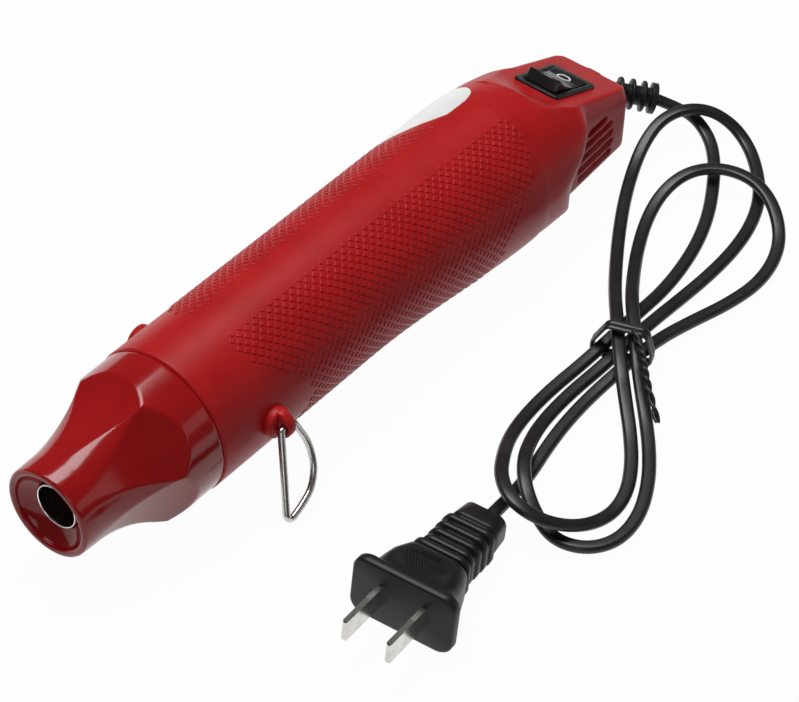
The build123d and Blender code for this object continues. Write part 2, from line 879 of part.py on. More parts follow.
outer_form = barrel_form()
inner_form = barrel_form(wall)
face_tilt = radians(face_angle)
down_face = (cos(face_tilt), 0, -sin(face_tilt))
off_face = (sin(face_tilt), 0, cos(face_tilt))
switch_middle = (switch_station - rest_station, 0, axis_height + face_level(switch_station))
switch_plane = Plane(switch_middle, x_dir=down_face, z_dir=off_face)
rear_x = body_length - rest_station
board_rear = board_station + board_length
clamp_under = cord_level + cord_radius + cord_gap
lug_x = lug_station - rest_station
with BuildPart() as barrel:
    add(outer_form)
    add(inner_form, mode=Mode.SUBTRACT)
    # Shoulder that the duct seats on, with notches for the heater's wires
    with BuildSketch(cross_plane(duct_end)):
        Circle(barrel_radius - wall / 2)
        Circle(shoulder_inner_radius, mode=Mode.SUBTRACT)
    extrude(amount=shoulder_thickness)
    for angle in heater_wire_angles:
        with BuildSketch(radial_plane(angle)):
            with Locations((duct_end + shoulder_thickness / 2, duct_radius)):
                Rectangle(shoulder_thickness, 2 * groove_depth)
        extrude(amount=groove_width / 2, both=True, mode=Mode.SUBTRACT)
    # Pillars under the circuit board, rising from inside the wall
    with BuildSketch(Plane.XY.offset(wall / 2)):
        for station in (board_station + pillar_inset, board_rear - pillar_inset):
            with Locations((station - rest_station, 0)):
                Circle(pillar_radius)
    extrude(amount=board_level - wall / 2)
    # Lug on each side, the near one with an ear for the ring
    with BuildSketch(Plane((lug_x, wall / 2 - barrel_radius, axis_height), x_dir=(1, 0, 0), z_dir=(0, -1, 0))):
        Circle(lug_radius)
    extrude(amount=lug_reach - barrel_radius + wall / 2)
    with BuildSketch(Plane((lug_x, barrel_radius - wall / 2, axis_height), x_dir=(-1, 0, 0), z_dir=(0, 1, 0))):
        Circle(lug_radius)
    extrude(amount=far_lug_reach - barrel_radius + wall / 2)
    fillet(barrel.faces().sort_by(Axis.Y)[-1].edges(), lug_edge)
    with BuildSketch(Plane((lug_x - ear_width / 2, 0, axis_height), x_dir=(0, 1, 0), z_dir=(1, 0, 0))):
        with Locations((lug_radius - ear_reach, 0)):
            Circle(lug_radius)
        with Locations((-(barrel_radius - wall / 2 + ear_reach - lug_radius) / 2, 0)):
            Rectangle(ear_reach - lug_radius - barrel_radius + wall / 2, 2 * lug_radius)
        with Locations((-ring_hinge_reach, 0)):
            Circle(ring_wire_radius + ring_bore_clearance, mode=Mode.SUBTRACT)
    extrude(amount=ear_width)
    # Opening for the switch, hole for the cord's relief, and the air slots in both flat sides
    with BuildSketch(switch_plane.offset(-2 * wall)):
        Rectangle(switch_length + 2 * panel_clearance, switch_width + 2 * panel_clearance)
    extrude(amount=4 * wall, mode=Mode.SUBTRACT)
    with BuildSketch(Plane((rear_x - 2 * wall, 0, cord_level), x_dir=(0, 1, 0), z_dir=(1, 0, 0))):
        Circle(boot_radius + shaft_clearance)
    extrude(amount=4 * wall, mode=Mode.SUBTRACT)
    with BuildSketch(radial_plane()):
        for slot in range(vent_count):
            row = slot - (vent_count - 1) / 2
            with Locations((vent_station + row * vent_lead, -vent_height - row * vent_pitch)):
                SlotOverall(vent_length - abs(row) * vent_taper, vent_width)
    extrude(amount=2 * barrel_radius, both=True, mode=Mode.SUBTRACT)
    # Posts under the cord clamp, rising from inside the wall
    with BuildSketch(Plane.XY.offset(tail_lift + wall / 2)):
        with Locations((clamp_station - rest_station, 0)):
            with GridLocations(0, 2 * clamp_screw_offset, 1, 2):
                Circle(clamp_post_radius)
    extrude(amount=clamp_under - tail_lift - wall / 2)
finish(barrel.part, "barrel")

# Rating label, a blank sheet that follows the handle on its far side
with BuildPart() as label_sticker:
    add(barrel_form(-label_gap - label_thickness))
    add(barrel_form(-label_gap), mode=Mode.SUBTRACT)
    with BuildSketch(radial_plane(label_angle - 90).offset(barrel_radius / 2)):
        with Locations((label_station, 0)):
            RectangleRounded(label_length, label_height, label_corner)
    extrude(amount=2 * barrel_radius, mode=Mode.INTERSECT)
finish(label_sticker.part, "label_sticker")

# Stand ring: bent wire through the near lug's ear, leaning out until its toe stands on the table
hinge = (lug_x, -ring_hinge_reach, axis_height)
lean_out = radians(ring_lean)
ring_plane = Plane(hinge, x_dir=(1, 0, 0), z_dir=(0, -cos(lean_out), sin(lean_out)))
with BuildPart() as d_ring:
    with BuildLine(ring_plane):
        ring_path = FilletPolyline(
            (-ring_half_bar, 0),
            (ring_half_bar, 0),
            (ring_rear_reach, -ring_rear_drop),
            (ring_toe, -ring_toe_drop),
            (-ring_front_reach, -ring_drop),
            radius=[ring_corner, ring_corner, ring_bow, ring_bow, ring_corner],
            close=True,
        )
    with BuildSketch(Plane(ring_path @ 0, z_dir=ring_path % 0)):
        Circle(ring_wire_radius)
    sweep(path=ring_path)
finish(d_ring.part, "d_ring")

# Switch: body with its bezel, the rocker on its pins, and two terminals
pivot = switch_plane.offset(-rocker_pivot_depth).origin
rocker_radius = rocker_length / 2
rocker_half = rocker_radius * rocker_top_share
rocker_top = sqrt(rocker_radius**2 - rocker_half**2)
pocket_floor = rocker_pivot_depth + rocker_belly + rocker_gap
with BuildPart() as switch_body:
    with BuildSketch(switch_plane):
        RectangleRounded(bezel_length, bezel_width, bezel_corner)
    extrude(amount=bezel_height)
    chamfer(switch_body.faces().filter_by(switch_plane).sort_by(Axis.Z)[-1].edges(), bezel_edge)
    with BuildSketch(switch_plane):
        Rectangle(switch_length, switch_width)
    extrude(amount=-switch_depth)
    with BuildSketch(switch_plane.offset(-pocket_floor)):
        Rectangle(rocker_length + 2 * rocker_gap, rocker_width + 2 * rocker_gap)
    extrude(amount=pocket_floor + bezel_height, mode=Mode.SUBTRACT)
    pin_plane = Plane(pivot, x_dir=down_face, z_dir=(0, -1, 0))
    with BuildSketch(pin_plane):
        Circle(rocker_pin_radius + shaft_clearance)
    extrude(amount=rocker_width / 2 + rocker_gap + rocker_pin, both=True, mode=Mode.SUBTRACT)
finish(switch_body.part, "switch_body")

with BuildPart() as switch_rocker:
    rocker_lean = radians(face_angle + rocker_tilt)
    rocker_plane = Plane(pivot, x_dir=(cos(rocker_lean), 0, -sin(rocker_lean)), z_dir=(0, -1, 0))
    with BuildSketch(rocker_plane):
        with BuildLine():
            Polyline((-rocker_half, rocker_top), (0, rocker_top - rocker_dish), (rocker_half, rocker_top))
            ThreePointArc((rocker_half, rocker_top), (rocker_radius, 0), (rocker_half, -rocker_top))
            ThreePointArc((rocker_half, -rocker_top), (0, -rocker_belly), (-rocker_half, -rocker_top))
            ThreePointArc((-rocker_half, -rocker_top), (-rocker_radius, 0), (-rocker_half, rocker_top))
        make_face()
    extrude(amount=rocker_width / 2, both=True)
    with BuildSketch(rocker_plane):
        Circle(rocker_pin_radius)
    extrude(amount=rocker_width / 2 + rocker_gap + rocker_pin - shaft_clearance, both=True)
finish(switch_rocker.part, "switch_rocker")

with BuildPart() as switch_terminals:
    with BuildSketch(switch_plane.offset(-switch_depth)):
        with GridLocations(terminal_spacing, 0, 2, 1):
            Rectangle(terminal_thickness, terminal_width)
    extrude(amount=-terminal_length)
finish(switch_terminals.part, "switch_terminals")

# Circuit board on its pillars, with its screws, its four diodes and its capacitor
board_plane = Plane.XY.offset(board_level)
board_x = board_station + board_length / 2 - rest_station
screw_spots = ((board_length / 2 - pillar_inset, 0), (pillar_inset - board_length / 2, 0))
with BuildPart() as circuit_board:
    with BuildSketch(board_plane):
        with Locations((board_x, 0)):
            Rectangle(board_length, board_width)
            with Locations(*screw_spots):
                Circle(board_screw_radius + shaft_clearance, mode=Mode.SUBTRACT)
    extrude(amount=board_thickness)
finish(circuit_board.part, "circuit_board")

board_top = Plane.XY.offset(board_level + board_thickness)
with BuildPart() as board_screws:
    with BuildSketch(board_top):
        with Locations((board_x, 0)):
            with Locations(*screw_spots):
                Circle(board_screw_head_radius)
    extrude(amount=screw_head)
    with BuildSketch(board_top):
        with Locations((board_x, 0)):
            with Locations(*screw_spots):
                Circle(board_screw_radius)
    extrude(amount=-board_thickness)
finish(board_screws.part, "board_screws")

diode_level = board_level + board_thickness + shaft_clearance + diode_radius
with BuildPart() as diodes:
    with BuildSketch(Plane((board_x, -diode_length / 2, diode_level), x_dir=(1, 0, 0), z_dir=(0, -1, 0))):
        with GridLocations(diode_pitch, 0, 4, 1):
            Circle(diode_radius)
    extrude(amount=-diode_length)
finish(diodes.part, "diodes")

with BuildPart() as capacitor:
    with BuildSketch(board_top):
        with Locations((board_x, board_width / 2 - capacitor_width / 2)):
            Rectangle(capacitor_length, capacitor_width)
    extrude(amount=capacitor_height)
    fillet(capacitor.faces().sort_by(Axis.Z)[-1].edges(), capacitor_edge)
finish(capacitor.part, "capacitor")

# Wires inside the handle
under_board = board_level - axis_height
motor_wire_level = board_level + board_thickness / 2
with BuildPart() as motor_wires:
    with BuildSketch(cross_plane(motor_end + bell_length, motor_wire_level - axis_height)):
        with GridLocations(motor_wire_spacing, 0, 2, 1):
            Circle(wire_insulation_radius)
    extrude(amount=board_station - motor_end - bell_length)
finish(motor_wires.part, "motor_wires")

groove_radius = duct_radius - groove_depth / 2
with BuildPart() as heater_wires:
    for angle in heater_wire_angles:
        plane = radial_plane(angle)
        with BuildLine(plane):
            wire_path = FilletPolyline(
                (plate_station + plate_thickness, heater_wire_radius),
                (duct_start + slot_length / 2, heater_wire_radius),
                (duct_start + slot_length / 2, groove_radius),
                (board_station + heater_wire_inset, groove_radius),
                (board_station + heater_wire_inset, (under_board - wire_insulation_radius) / cos(radians(angle))),
                radius=heater_wire_bend,
            )
        with BuildSketch(Plane(wire_path @ 0, z_dir=wire_path % 0)):
            Circle(wire_insulation_radius)
        sweep(path=wire_path)
finish(heater_wires.part, "heater_wires")

clamp_front = clamp_station - clamp_length / 2
inner_cord_end = clamp_front - clamp_margin
terminal_reach = switch_depth + terminal_length / 2
terminal_middle = switch_plane.origin - switch_plane.z_dir * terminal_reach
rear_terminal = terminal_middle + switch_plane.x_dir * terminal_spacing / 2
front_terminal = terminal_middle - switch_plane.x_dir * terminal_spacing / 2
strand = cord_radius / 2
start_x = inner_cord_end - rest_station
board_end_x = board_rear - rest_station
mains_paths = [
    Line((start_x, strand, cord_level), (rear_terminal.X + terminal_gap, strand, cord_level)),
    FilletPolyline(
        (start_x, -strand, cord_level),
        (start_x - wire_step, -strand, cord_level),
        (start_x - 2 * wire_step, -side_wire_offset, motor_wire_level),
        (board_end_x, -side_wire_offset, motor_wire_level),
        radius=heater_wire_bend,
    ),
    FilletPolyline(
        (front_terminal.X - terminal_gap, 0, front_terminal.Z),
        (front_terminal.X - terminal_gap - wire_step, 0, front_terminal.Z),
        (board_end_x + wire_step, 0, motor_wire_level),
        (board_end_x, 0, motor_wire_level),
        radius=heater_wire_bend,
    ),
]
with BuildPart() as mains_wires:
    for wire_path in mains_paths:
        with BuildSketch(Plane(wire_path @ 0, z_dir=wire_path % 0)):
            Circle(wire_insulation_radius)
        sweep(path=wire_path)
finish(mains_wires.part, "mains_wires")

# Cord entry: relief boot with ribs, the cord inside it, and the clamp that holds it
boot_start = (rear_x - wall - boot_inner_length, 0, cord_level)
boot_path = FilletPolyline(boot_start, boot_corner, boot_end, radius=boot_bend)
boot_direction = boot_path % 1
with BuildPart() as strain_relief:
    with BuildSketch(Plane(boot_path @ 0, z_dir=boot_path % 0)):
        Circle(boot_radius)
    sweep(path=boot_path)
    with BuildSketch(Plane((rear_x - wall, 0, cord_level), x_dir=(0, 1, 0), z_dir=(-1, 0, 0))):
        Circle(boot_collar_radius)
    extrude(amount=boot_collar)
    with BuildSketch(Plane((rear_x, 0, cord_level), x_dir=(0, 1, 0), z_dir=(1, 0, 0))):
        Circle(boot_rib_radius)
    extrude(amount=boot_rib)
    for rib in range(boot_rib_count):
        thickness = boot_end_rib if rib == 0 else boot_rib
        with BuildSketch(Plane(boot_path @ 1 - boot_direction * rib * boot_rib_pitch, z_dir=-boot_direction)):
            Circle(boot_rib_radius)
        extrude(amount=thickness)
finish(strain_relief.part, "strain_relief")

with BuildPart() as inner_cord:
    with BuildSketch(Plane(boot_start, x_dir=(0, 1, 0), z_dir=(-1, 0, 0))):
        Circle(cord_radius)
    extrude(amount=boot_start[0] + rest_station - inner_cord_end)
finish(inner_cord.part, "inner_cord")

with BuildPart() as cord_clamp:
    with BuildSketch(Plane.XY.offset(clamp_under)):
        with Locations((clamp_station - rest_station, 0)):
            RectangleRounded(clamp_length, clamp_width, clamp_corner)
            with GridLocations(0, 2 * clamp_screw_offset, 1, 2):
                Circle(board_screw_radius + shaft_clearance, mode=Mode.SUBTRACT)
    extrude(amount=clamp_height)
finish(cord_clamp.part, "cord_clamp")

with BuildPart() as clamp_screws:
    for reach, radius in ((screw_head, board_screw_head_radius), (-clamp_height, board_screw_radius)):
        with BuildSketch(Plane.XY.offset(clamp_under + clamp_height)):
            with Locations((clamp_station - rest_station, 0)):
                with GridLocations(0, 2 * clamp_screw_offset, 1, 2):
                    Circle(radius)
        extrude(amount=reach)
finish(clamp_screws.part, "clamp_screws")

# Plug: it stands on its flange's lower edge, nose up, with two flat blades
heading = radians(plug_heading)
pitch = radians(plug_pitch)
plug_forward = Vector(cos(heading) * cos(pitch), sin(heading) * cos(pitch), sin(pitch))
plug_face_z = plug_flange_height / 2 * cos(pitch) + plug_flange * sin(pitch)
plug_plane = Plane(
    (plug_face_x, plug_face_y, plug_face_z), x_dir=(-sin(heading), cos(heading), 0), z_dir=plug_forward
)
body_back = plug_flange + plug_body_length
sleeve_front = body_back + plug_step
tip_front = sleeve_front + plug_sleeve_length
plug_length = tip_front + plug_tip_length
rib_pitch = plug_sleeve_length / (plug_rib_count + 1)
with BuildPart() as plug_body:
    with BuildSketch(plug_plane):
        RectangleRounded(plug_flange_width, plug_flange_height, plug_flange_corner)
    extrude(amount=-plug_flange)
    with BuildSketch(plug_plane.offset(-plug_flange)):
        RectangleRounded(plug_neck_width, plug_neck_height, plug_flange_corner)
    with BuildSketch(plug_plane.offset(-plug_flange - plug_body_length * plug_waist_share)):
        RectangleRounded(plug_neck_width * plug_waist_width_share, plug_neck_height, plug_flange_corner)
    with BuildSketch(plug_plane.offset(-body_back)):
        RectangleRounded(plug_back_width, plug_back_height, plug_flange_corner)
    loft(ruled=True)
    with BuildSketch(plug_plane.offset(-body_back)):
        RectangleRounded(plug_back_width, plug_back_height, plug_flange_corner)
    extrude(amount=-plug_step)
    with BuildSketch(plug_plane.offset(-sleeve_front)):
        RectangleRounded(plug_sleeve_width, plug_sleeve_height, plug_sleeve_corner)
    extrude(amount=-plug_sleeve_length)
    for rib in range(plug_rib_count):
        with BuildSketch(plug_plane.offset(-sleeve_front - (rib + 1) * rib_pitch + plug_rib / 2)):
            RectangleRounded(
                plug_sleeve_width + 2 * plug_rib_height,
                plug_sleeve_height + 2 * plug_rib_height,
                plug_sleeve_corner,
            )
        extrude(amount=-plug_rib)
    with BuildSketch(plug_plane.offset(-tip_front)):
        RectangleRounded(plug_tip_width, plug_tip_height, plug_sleeve_corner)
    extrude(amount=-plug_tip_length)
    with BuildSketch(plug_plane):
        with GridLocations(blade_spacing, 0, 2, 1):
            Rectangle(blade_gauge, blade_width)
    extrude(amount=-blade_depth, mode=Mode.SUBTRACT)
finish(plug_body.part, "plug_body")

with BuildPart() as plug_blades:
    with BuildSketch(plug_plane.offset(-blade_depth)):
        with GridLocations(blade_spacing, 0, 2, 1):
            Rectangle(blade_gauge, blade_width)
    extrude(amount=blade_depth + blade_length)
    chamfer(plug_blades.faces().filter_by(plug_plane).sort_by(Axis.X)[:2].edges(), blade_tip)
finish(plug_blades.part, "plug_blades")

# Cord: the lead from the relief, the tied hank, and the tail into the plug
plug_end = Vector(*plug_plane.origin) - plug_forward * plug_length
tail_end = [tuple(plug_end - plug_forward * tail_straight), tuple(plug_end)]
lead_out = Vector(*boot_end) + boot_direction * lead_straight
hank_points = hank_first_loop + hank_second_loop + hank_third_loop
lead_joint = tuple((Vector(*lead_points[-1]) + Vector(*hank_points[0])) / 2)
tail_joint = tuple((Vector(*hank_points[-1]) + Vector(*tail_points[0])) / 2)
lead_part, lead_path = tube([boot_end, tuple(lead_out)] + lead_points + [lead_joint], cord_radius, "cord_lead")
finish(lead_part, "cord_lead")
hank_part, hank_path = tube([lead_joint] + hank_points + [tail_joint], cord_radius, "cord_hank")
finish(hank_part, "cord_hank")
tail_part, tail_path = tube([tail_joint] + tail_points + tail_end, cord_radius, "cord_tail")
finish(tail_part, "cord_tail")
cord_length = lead_path.length + hank_path.length + tail_path.length
print("cord length from relief to plug", round(cord_length, 1))

# The hank's least gap to itself, between spots at least a few diameters apart along it
marks = hank_path.positions([step / gap_steps for step in range(gap_steps + 1)])
apart = int(gap_reach * cord_radius * gap_steps / hank_path.length)
gaps = []
for index, mark in enumerate(marks):
    for other in marks[index + apart :: 2]:
        gaps.append((mark - other).length)
print("hank least gap to itself", round(min(gaps) - 2 * cord_radius, 2))

# Twist tie round the five strands, with one twisted end that lies over the loops
tie_lean = radians(tie_heading)
tie_across = (cos(tie_lean), sin(tie_lean), 0)
tie_plane = Plane((tie_x, tie_y, 0), x_dir=tie_across, z_dir=(sin(tie_lean), -cos(tie_lean), 0))
tie_end_path = FilletPolyline(*tie_end_points, radius=tie_bend)
with BuildPart() as twist_tie:
    with BuildLine(tie_plane):
        tie_path = FilletPolyline(
            (-tie_half_width, tie_bottom),
            (tie_half_width, tie_bottom),
            (tie_half_width, tie_side),
            (tie_right_top, tie_top),
            (-tie_left_top, tie_top),
            (-tie_half_width, tie_side),
            radius=[tie_bend, tie_bend, tie_bend, tie_bend, tie_bend, tie_bend],
            close=True,
        )
    with BuildSketch(Plane(tie_path @ 0, z_dir=tie_path % 0)):
        Circle(tie_radius)
    sweep(path=tie_path)
    with BuildSketch(Plane(tie_end_path @ 0, z_dir=tie_end_path % 0)):
        Circle(tie_radius)
    sweep(path=tie_end_path)
finish(twist_tie.part, "twist_tie")
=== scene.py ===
# %% [markdown]
# An embossing heat tool lies on a table: a round red handle with a switch on its sloped end, a glossy
# nozzle cover, a wire stand ring, and a mains cord tied in a loose hank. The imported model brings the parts
# inside and the joints, and this lesson lays finer surfaces over the parts that show. Everything is in
# metres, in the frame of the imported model: the tool lies along X, its nozzle points towards -X, and the
# table is at zero height. A station is a distance in millimetres behind the mouth of the nozzle.

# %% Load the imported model
import json
import math

import bpy
import numpy as np
from mathutils import Matrix, Vector


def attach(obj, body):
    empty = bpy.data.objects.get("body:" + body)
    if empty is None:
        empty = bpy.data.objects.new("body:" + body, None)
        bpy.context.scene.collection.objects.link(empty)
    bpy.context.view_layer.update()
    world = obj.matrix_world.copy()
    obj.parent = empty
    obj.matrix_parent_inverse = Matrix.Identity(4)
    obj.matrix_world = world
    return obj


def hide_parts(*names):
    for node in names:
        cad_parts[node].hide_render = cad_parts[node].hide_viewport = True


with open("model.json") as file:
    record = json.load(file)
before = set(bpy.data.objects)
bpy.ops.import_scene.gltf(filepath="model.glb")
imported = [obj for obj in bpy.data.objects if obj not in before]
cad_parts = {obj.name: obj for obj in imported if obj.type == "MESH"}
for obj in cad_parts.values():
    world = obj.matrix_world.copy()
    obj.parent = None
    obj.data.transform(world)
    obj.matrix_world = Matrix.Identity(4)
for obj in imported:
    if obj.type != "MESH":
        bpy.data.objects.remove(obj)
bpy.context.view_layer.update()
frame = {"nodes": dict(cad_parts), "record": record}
mm = 0.001
rest_station = 110
axis_height = 21.2
x_axis, y_axis, z_axis = np.eye(3)
print("nodes in the model:", len(frame["nodes"]))

# %% [markdown]
# The camera could be placed by eye, but then every edge would be a little off, so it was worked out from
# the tool's own edges. It has a long lens, so it is far away, and it is turned a little about its own
# axis. Its directions are given as three vectors of length one: right, up and back.

# %% Camera
camera_right = (0.62252, -0.78188, 0.03372)
camera_up = (0.52535, 0.44944, 0.72250)
camera_back = (-0.58006, -0.43206, 0.69055)
camera_place = (-0.49194, -0.39055, 0.59771)
camera_data = bpy.data.cameras.new("camera")
camera_data.sensor_width = 36
camera_data.lens = 144.18
camera_data.clip_start = 0.01
camera_data.clip_end = 20
camera = bpy.data.objects.new("camera", camera_data)
camera.matrix_world = Matrix((*zip(camera_right, camera_up, camera_back, camera_place), (0, 0, 0, 1)))
bpy.context.scene.collection.objects.link(camera)
bpy.context.scene.camera = camera
print("camera with a lens of", camera_data.lens, "mm")

# %% [markdown]
# Each new piece is a surface made from a grid of points. It could be modelled by hand, but a formula keeps
# its sizes in named values and is easy to change. Both directions of the grid can be closed, and a row at
# either end can be capped with a point in its middle. The faces are worked out as whole arrays.

# %% Meshes from grids
made_pieces = []


def grid_faces(rows_count, columns_count, closed_rows, closed_columns):
    """Quads between neighbours: (i, j), (i, j+1), (i+1, j+1), (i+1, j), wrapped where closed."""
    row = np.arange(rows_count if closed_rows else rows_count - 1)
    column = np.arange(columns_count if closed_columns else columns_count - 1)
    i, j = np.meshgrid(row, column, indexing="ij")
    after_i, after_j = (i + 1) % rows_count, (j + 1) % columns_count
    corners = (i * columns_count + j, i * columns_count + after_j,
               after_i * columns_count + after_j, after_i * columns_count + j)
    return np.stack(corners, -1).reshape(-1, 4)


def add_piece(name, points, faces, body="housing", slot=None, smooth=True, replaces=()):
    """An object at the origin from points in metres and faces as rows of point numbers."""
    mesh = bpy.data.meshes.new(name)
    mesh.from_pydata(np.asarray(points).tolist(), [], [tuple(face) for face in faces])
    mesh.validate()
    mesh.polygons.foreach_set("use_smooth", np.full(len(mesh.polygons), smooth))
    mesh.update()
    piece = bpy.data.objects.new(name, mesh)
    bpy.context.scene.collection.objects.link(piece)
    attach(piece, body)
    if replaces:
        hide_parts(*replaces)
    made_pieces.append((piece, slot))
    print("made", name, "with", len(mesh.polygons), "faces")
    return piece


def grid_piece(name, grid, closed_rows=False, closed_columns=True, caps=True, flip=False, **facts):
    """A surface from an array of rows x columns x 3, with flat caps on open rows."""
    count, columns = grid.shape[:2]
    points = grid.reshape(-1, 3)
    faces = grid_faces(count, columns, closed_rows, closed_columns)
    if flip:
        faces = faces[:, ::-1]
    faces = faces.tolist()
    if caps and not closed_rows:
        for row, backwards in ((0, not flip), (count - 1, flip)):
            middle = len(points)
            points = np.vstack((points, grid[row].mean(0)))
            here = row * columns + np.arange(columns)
            after = np.roll(here, -1)
            first, second = (after, here) if backwards else (here, after)
            faces += np.stack((np.full(columns, middle), first, second), -1).tolist()
    return add_piece(name, points, faces, **facts)


def studs(name, rings, **facts):
    """Many small blocks as one piece, from an array of copies x rings x corners x 3.

    A wall joins corner c of ring r, point r * corners + c, to its neighbours. Two flat ends close a block.
    """
    copies, levels, corners = rings.shape[:3]
    corner = np.arange(corners)
    ring_start = np.arange(levels - 1)[:, None] * corners
    here = (ring_start + corner).ravel()
    after = (ring_start + (corner + 1) % corners).ravel()
    walls = np.stack((here + corners, after + corners, after, here), -1)
    ends = np.stack((corner[::-1] + (levels - 1) * corners, corner))
    block_start = np.arange(copies)[:, None, None] * levels * corners
    faces = (block_start + walls).reshape(-1, 4).tolist() + (block_start + ends).reshape(-1, corners).tolist()
    return add_piece(name, rings.reshape(-1, 3), faces, **facts)


# %% [markdown]
# A few outlines and places come back in many pieces: a circle, a line with rounded corners, a place given
# by its shares along three axes, and a section carried along a path. Each is one short function.

# %% Outlines and places


def circle(count):
    """Places on a circle of radius one: the cosine and the sine of equal turns."""
    turns = np.linspace(0, 2 * math.pi, count, endpoint=False)
    return np.stack((np.cos(turns), np.sin(turns)), -1)


def on_axes(origin, shares, axes):
    """A place: the origin plus each share times its axis."""
    place = origin
    for share, axis in zip(shares, axes):
        place = place + share * axis
    return place


def round_axis(station, reach, angle):
    """A place at a distance from the tool's axis, in millimetres. The angle goes from the top towards -Y."""
    return np.stack(np.broadcast_arrays(
        station - rest_station, -reach * np.sin(angle), reach * np.cos(angle) + axis_height), -1)


def softest(values, width):
    """A smooth minimum: -width times the logarithm of the sum of exp(-value / width)."""
    values = np.stack(values)
    low = values.min(0)
    return low - width * np.log(np.exp(-(values - low) / width).sum(0))


def rounded(corners, radii, steps):
    """A closed line with each corner replaced by an arc: centre on the bisector, radius as asked."""
    corners = [np.array(c, float) for c in corners]
    radii = [radii] * len(corners) if np.isscalar(radii) else radii
    out = []
    for k, here in enumerate(corners):
        back, ahead = corners[k - 1] - here, corners[(k + 1) % len(corners)] - here
        back_length, ahead_length = np.linalg.norm(back), np.linalg.norm(ahead)
        back, ahead = back / back_length, ahead / ahead_length
        half = math.acos(np.clip(back @ ahead, -1, 1)) / 2
        reach = min(radii[k] / math.tan(half), 0.49 * back_length, 0.49 * ahead_length)
        bisector = (back + ahead) / np.linalg.norm(back + ahead)
        centre = here + bisector * reach * math.tan(half) / math.sin(half)
        start, end = here + back * reach - centre, here + ahead * reach - centre
        turn = math.pi - 2 * half
        part = np.linspace(0, 1, steps + 1)[:, None]
        arc = (start * np.sin((1 - part) * turn) + end * np.sin(part * turn)) / math.sin(turn)
        out.extend(centre + arc)
    return np.array(out)


def rounded_rectangle(width, height, corner, columns=12):
    """The outline of a rounded rectangle, the same number of points on each corner."""
    least_side = 0.01
    corner = min(corner, width / 2 - least_side, height / 2 - least_side)
    quarter = np.linspace(0, math.pi / 2, columns)
    out = []
    for turn, (side_x, side_y) in enumerate(((1, 1), (-1, 1), (-1, -1), (1, -1))):
        centre = np.array((side_x * (width / 2 - corner), side_y * (height / 2 - corner)))
        angle = quarter + turn * math.pi / 2
        out.append(centre + corner * np.stack((np.cos(angle), np.sin(angle)), -1))
    return np.concatenate(out)


def swept(path, section, closed=False, side=z_axis):
    """A section (across, up) carried along a path. Across is at right angles to the path and to the side."""
    ahead = np.roll(path, -1, 0) - np.roll(path, 1, 0)
    if not closed:
        ahead[0], ahead[-1] = path[1] - path[0], path[-1] - path[-2]
    ahead /= np.linalg.norm(ahead, axis=1, keepdims=True)
    across = np.cross(ahead, side)
    across /= np.linalg.norm(across, axis=1, keepdims=True)
    up = np.cross(across, ahead)
    return path[:, None] + section[None, :, :1] * across[:, None] + section[None, :, 1:] * up[:, None]
